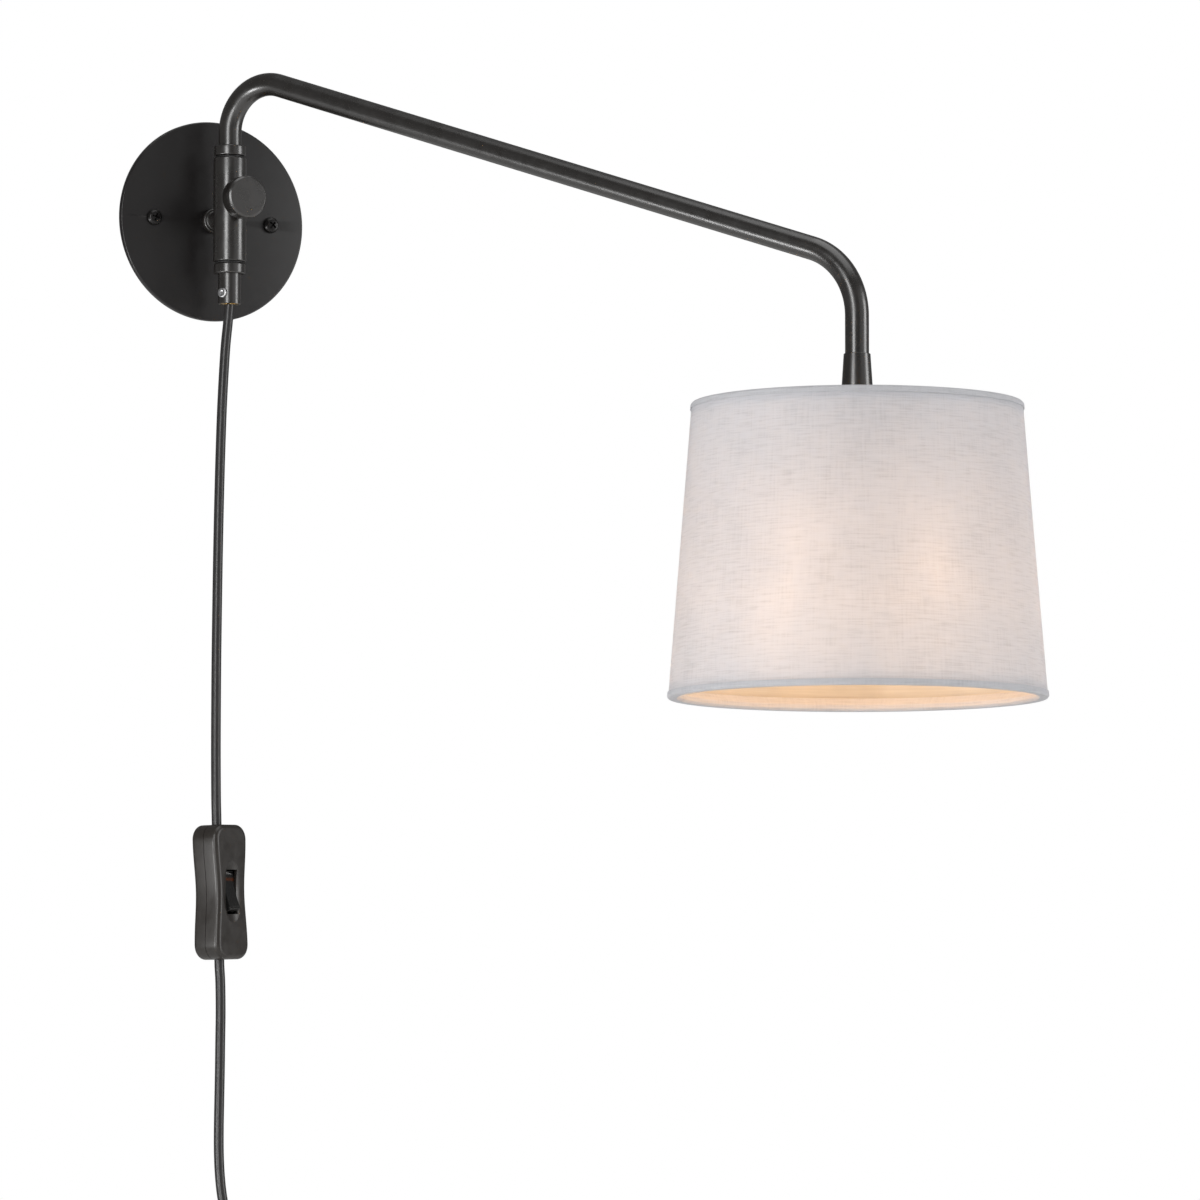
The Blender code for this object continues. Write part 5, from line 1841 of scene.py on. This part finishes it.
def switch_body(name, shrink, thickness, edge):
    """The switch's waisted block with its front and back edges rounded over."""
    layers = []
    count = 10
    for way in (-1, 1):
        for i in range(count + 1):
            a = math.pi / 2 * (i / count if way < 0 else 1 - i / count)
            inset = shrink + edge * (1 - math.sin(a))
            outline = waisted_outline(
                SWITCH_LENGTH - 2 * inset, SWITCH_WIDTH - 2 * inset, SWITCH_WAIST - 2 * inset,
                max(SWITCH_CORNER - inset, 0.0005),
            )
            layers.append((outline, way * (thickness / 2 - edge * (1 - math.cos(a)))))
    for k in (0, -1):
        outline, height = layers[k]
        inner = [(x * 0.95, y * 0.985) for x, y in outline]
        layers.insert(0 if k == 0 else len(layers), (inner, height))
    return moved(layered(name, layers), OUTWARD)


class WALLLIGHT_OT_switch(bpy.types.Operator):
    """Inline switch: two moulded halves, case screws and a rocker"""

    bl_idname = "wall_light.switch"
    bl_label = "Inline Switch"

    def execute(self, context):
        black = paint("switch plastic")
        for name, node_name, way in (
            ("switch_front", "switch_front_shell", -1), ("switch_back", "switch_back_shell", 1)
        ):
            half = switch_body(name, 0, SWITCH_THICKNESS, SWITCH_EDGE)
            cutters = [switch_body("hollow", 0.0016, SWITCH_THICKNESS - 0.0048, 0.002)]
            other = block("other_half", (0.05, 0.04, 0.1))
            cutters.append(moved(other, at((0, -way * (0.02 - GAP / 2), 0))))
            for side in (1, -1):
                entry = plain_rod("entry", GRIP_BORE, 0.008, -0.008, 0)
                place = at((0, SWITCH_ENTRY_BACK, side * SWITCH_LENGTH / 2))
                cutters.append(moved(entry, place))
            cutters += self.front_cutters() if way < 0 else self.back_cutters()
            half = carved(half, cutters)
            half.set_sharp_from_angle(angle=math.radians(14))
            piece(half, black, "wall_bracket", [node_name], SWITCH)
        self.make_case_screws()
        self.make_rocker()
        return {"FINISHED"}

    def front_cutters(self):
        """The oval dish and the slot that the rocker comes through."""
        face = -SWITCH_THICKNESS / 2
        section = [(math.sin(a), math.cos(a)) for a in
                   (math.pi * i / 40 for i in range(41))]
        section[0] = (0, 1)
        section[-1] = (0, -1)
        dish = turned("dish", section, 96)
        dish.transform(
            at((0, face - DISH_RISE, 0)) @ Matrix.Diagonal((*DISH, 1)) @ OUTWARD
        )
        slot = block("slot", (ROCKER_WIDTH + 0.0006, 0.012, 2 * ROCKER_REACH + 0.0008), 0.0003, 2)
        return [dish, moved(slot, at((0, face + 0.002, 0)))]

    def back_cutters(self):
        made = []
        for side in (1, -1):
            place = at((0, 0, side * CASE_SCREW_HEIGHT), BACKWARD)
            made.append(moved(plain_rod("bore", 0.0014, 0.02, 0.001, 0), place))
            sink = plain_rod("sink", 0.0028, 0.02, SWITCH_THICKNESS / 2 - 0.0014, 0)
            made.append(moved(sink, place))
        return made

    def make_case_screws(self):
        top = SWITCH_THICKNESS / 2 - 0.0002
        section = [(0, top), (0.0024, top, 0.0005), (0.0024, top - 0.0010), (0.0011, top - 0.0010)]
        section += [(0.0011, -0.0035), (0, -0.0042)]
        screw = turned("case_screw", rounded(section, 0), 48)
        screw = carved(screw, cross_recess(top, 0.0026, 0.0009, 0.0006))
        points = [SWITCH @ Vector((0, 0, side * CASE_SCREW_HEIGHT)) for side in (1, -1)]
        steel = paint("zinc steel")
        facing = SWITCH.to_3x3() @ Vector((0, 1, 0))
        screws = repeated("switch_case_screws", screw, points, facing, steel, 2.0, 4)
        piece(
            screws, steel, "wall_bracket",
            ["switch_screw_upper", "switch_screw_lower"],
        )

    def make_rocker(self):
        lip = math.radians(27)
        low = math.radians(-8)
        angles = [low + (lip - low) * i / 16 for i in range(17)]
        ends = [(ROCKER_REACH * math.cos(a), ROCKER_REACH * math.sin(a)) for a in angles]
        saddle = ROCKER_REACH * math.sin(lip)
        hollow = []
        for i in range(1, 24):
            z = ends[-1][0] * (1 - i / 12)
            hollow.append((z, saddle - 0.0013 * (1 - (z / ends[-1][0]) ** 2)))
        outline = ends + hollow + [(-z, out) for z, out in reversed(ends)] + [(0, -0.0026)]
        key = slab("switch_rocker_key", outline, ROCKER_WIDTH, 0.0008, 5)
        turn = Matrix(((0, 0, 1, 0), (0, -1, 0, 0), (1, 0, 0, 0), (0, 0, 0, 1)))
        place = SWITCH @ at((0, ROCKER_PIVOT, 0))
        place = place @ Matrix.Rotation(ROCKER_TILT, 4, "X") @ turn
        piece(key, paint("rocker plastic"), "switch_rocker", ["rocker"], place)


# ------------------------------------------------------------ coil tie and plug


def band(name, outside, inside, width):
    """A closed band between two outlines of as many points, with a width along its own Z."""
    shape = bmesh.new()
    rings = []
    for outline, z in ((outside, 0.5), (outside, -0.5), (inside, -0.5), (inside, 0.5)):
        rings.append([shape.verts.new((x, y, z * width)) for x, y in outline])
    count = len(outside)
    for first, second in zip(rings, rings[1:] + rings[:1]):
        for i in range(count):
            j = (i + 1) % count
            shape.faces.new((first[i], first[j], second[j], second[i]))
    return finish_mesh(name, shape)


def coil_section(grow):
    """The coil's section: distance from its axis, and depth along its axis."""
    half = (COIL_COLUMNS - 1) * COIL_PITCH / 2 + CORD_RADIUS + grow
    outer = COIL_OUTER + CORD_RADIUS + grow
    inner = COIL_OUTER - COIL_PITCH - CORD_RADIUS - grow
    corners = [(inner, -half), (outer, -half), (outer, half), (inner, half)]
    return rounded([(*corner, 0.0025 + grow) for corner in corners], 0, closed=True, steps=8)


class WALLLIGHT_OT_coil_tie(bpy.types.Operator):
    """Hook-and-loop strap that keeps the coil together"""

    bl_idname = "wall_light.coil_tie"
    bl_label = "Coil Tie"

    def execute(self, context):
        strap = band("coil_strap", coil_section(STRAP_OUTSIDE), coil_section(STRAP_INSIDE), 0.010)
        outer = COIL_OUTER + CORD_RADIUS + STRAP_OUTSIDE
        tab = block("tab", (0.0011, 0.0130, 0.0098), 0.0004, 2)
        tab.transform(at((outer + 0.0002, -0.0010, 0)))
        radial = Vector((math.sin(TIE_ANGLE), 0, math.cos(TIE_ANGLE)))
        axial = Vector((0, -1, 0))
        frame_turn = Matrix((radial, axial, radial.cross(axial))).transposed().to_4x4()
        piece(
            joined("coil_strap", strap, tab), paint("strap weave"), "wall_bracket",
            ["cord_tie"], at(COIL, frame_turn),
        )
        return {"FINISHED"}


class WALLLIGHT_OT_plug(bpy.types.Operator):
    """Moulded plug with its pins, fuse cover and ribbed strain relief"""

    bl_idname = "wall_light.plug"
    bl_label = "Plug"

    def execute(self, context):
        black = paint("plug plastic")
        place = at(PLUG)
        face = -PLUG_THICKNESS / 2
        core = PLUG_CORE
        corners = [(-0.0150, -0.0235), (0.0150, -0.0235), (0.0248, -0.0060), (0.0248, 0.0080)]
        corners += [(0.0150, 0.0220), (-0.0150, 0.0220), (-0.0248, 0.0080), (-0.0248, -0.0060)]
        outline = rounded([(*corner, 0.006) for corner in corners], 0, closed=True, steps=10)
        case = slab("plug_case", outline, PLUG_THICKNESS, 0.0026, 6)
        case.transform(at((0, 0, core), OUTWARD))
        pocket = block("pocket", (0.0306, 0.0180, 0.0090), 0.0004, 2)
        cutters = [moved(pocket, at((0, face, core - 0.0031)))]
        for side in (1, -1):
            for i in range(5):
                groove = block("groove", (0.0016, 0.0096, 0.0011), 0.0004, 2)
                groove.transform(
                    at((side * 0.0250, 0, core + 0.0050 - 0.0022 * i))
                )
                cutters.append(groove)
        piece(
            carved(case, cutters), black, "wall_bracket", ["plug_body"], place
        )
        cover = block("plug_fuse_cover", (0.0298, 0.0016, 0.0082), 0.0004, 3)
        cover.transform(at((0, face + 0.0010, core - 0.0031)))
        lift = block("lift", (0.0040, 0.0010, 0.0012), 0.0003, 2)
        lift.transform(at((0.0115, face + 0.0004, core - 0.0031)))
        piece(
            carved(cover, [lift]), black, "wall_bracket", ["fuse_carrier"], place
        )
        self.make_pins(place, face, core)
        self.make_relief(place, context.scene.wall_light_cord.relief_ribs)
        return {"FINISHED"}

    def make_pins(self, place, face, core):
        brass = paint("yellow brass")
        pin = block("pin", (0.0064, 0.0040, PIN_LENGTH), 0.0008, 3)
        points = [
            place @ Vector((side * 0.0111, face - GAP - PIN_LENGTH / 2, core + 0.0080))
            for side in (1, -1)
        ]
        pins = repeated("plug_power_pins", pin, points, (0, -1, 0), brass)
        piece(pins, brass, "wall_bracket", ["live_pin", "neutral_pin"])
        earth = block("plug_earth_pin", (0.0040, EARTH_PIN_LENGTH, 0.0079), 0.0009, 3)
        earth.transform(at((0, face - GAP - EARTH_PIN_LENGTH / 2, core - 0.0142)))
        piece(
            earth, paint("plug plastic"), "wall_bracket", ["earth_pin"], place
        )

    def make_relief(self, place, count):
        section = [(0.0034, 0.030, 0.0004), (0.0042, 0.024, 0.002), (0.0056, 0.0, 0.0003)]
        section += [(GRIP_BORE, 0.0), (GRIP_BORE, 0.030)]
        relief = turned("plug_relief", rounded(section, 0, closed=True), 64)
        rubber = paint("plug rubber")
        relief = grown(
            "plug_relief", ribs_tree(), relief, count=count, spacing=0.0030,
            first_radius=0.0050, last_radius=0.0036, material=rubber,
        )
        piece(
            relief, rubber, "wall_bracket", ["plug_strain_relief"], place
        )


# ---------------------------------------------------------------- inner parts

INNER_FINISHES = {
    "clamp_pad": "black nylon",
    "inner_lead": "cord sheath",
    "entry_nipple": "zinc steel",
    "nipple_nut": "zinc steel",
    "lampholder_cap": "holder plastic",
    "holder_core": "glazed ceramic",
    "centre_contact": "yellow brass",
    "side_contact": "yellow brass",
    "live_core": "brown insulation",
    "neutral_core": "blue insulation",
    "bulb_contact": "yellow brass",
    "switch_terminal_in": "yellow brass",
    "switch_terminal_out": "yellow brass",
    "contact_leaf": "yellow brass",
    "fuse": "glazed ceramic",
}


class WALLLIGHT_OT_inner_parts(bpy.types.Operator):
    """Finishes for the contacts, cores and fixings inside the light"""

    bl_idname = "wall_light.inner_parts"
    bl_label = "Inner Parts"

    def execute(self, context):
        for name, look in INNER_FINISHES.items():
            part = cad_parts[name]
            if not part.material_slots:
                part.data.materials.append(None)
            for held in part.material_slots:
                held.material = paint(look)
        return {"FINISHED"}


# ------------------------------------------------------------- panel and main


OPERATORS = (
    WALLLIGHT_OT_stage,
    WALLLIGHT_OT_cords,
    WALLLIGHT_OT_plate,
    WALLLIGHT_OT_swivel,
    WALLLIGHT_OT_thumbscrew,
    WALLLIGHT_OT_arm,
    WALLLIGHT_OT_lampholder,
    WALLLIGHT_OT_shade_frame,
    WALLLIGHT_OT_shade_cloth,
    WALLLIGHT_OT_bulb,
    WALLLIGHT_OT_switch,
    WALLLIGHT_OT_coil_tie,
    WALLLIGHT_OT_plug,
    WALLLIGHT_OT_inner_parts,
)

SETTINGS = {
    "wall_light_finishes": WallLightFinishes,
    "wall_light_shade": WallLightShade,
    "wall_light_cord": WallLightCord,
    "wall_light_studio": WallLightStudio,
}


class WALLLIGHT_PT_panel(bpy.types.Panel):
    """The wall light's settings and pieces"""

    bl_idname = "WALLLIGHT_PT_panel"
    bl_label = "Wall Light"
    bl_space_type = "VIEW_3D"
    bl_region_type = "UI"
    bl_category = "Wall Light"

    def draw(self, context):
        for name, group in SETTINGS.items():
            box = self.layout.box()
            for title in group.__annotations__:
                box.prop(getattr(context.scene, name), title)
        for operator in OPERATORS:
            self.layout.operator(operator.bl_idname)


def register():
    for group in SETTINGS.values():
        bpy.utils.register_class(group)
    for name, group in SETTINGS.items():
        setattr(bpy.types.Scene, name, PointerProperty(type=group))
    for item in (*OPERATORS, WALLLIGHT_PT_panel):
        bpy.utils.register_class(item)


def unregister():
    for item in (WALLLIGHT_PT_panel, *reversed(OPERATORS)):
        bpy.utils.unregister_class(item)
    for name, group in reversed(SETTINGS.items()):
        delattr(bpy.types.Scene, name)
        bpy.utils.unregister_class(group)


def main():
    register()
    for operator in OPERATORS:
        group, name = operator.bl_idname.split(".")
        getattr(getattr(bpy.ops, group), name)()
    declare_cords()


if __name__ == "__main__":
    main()
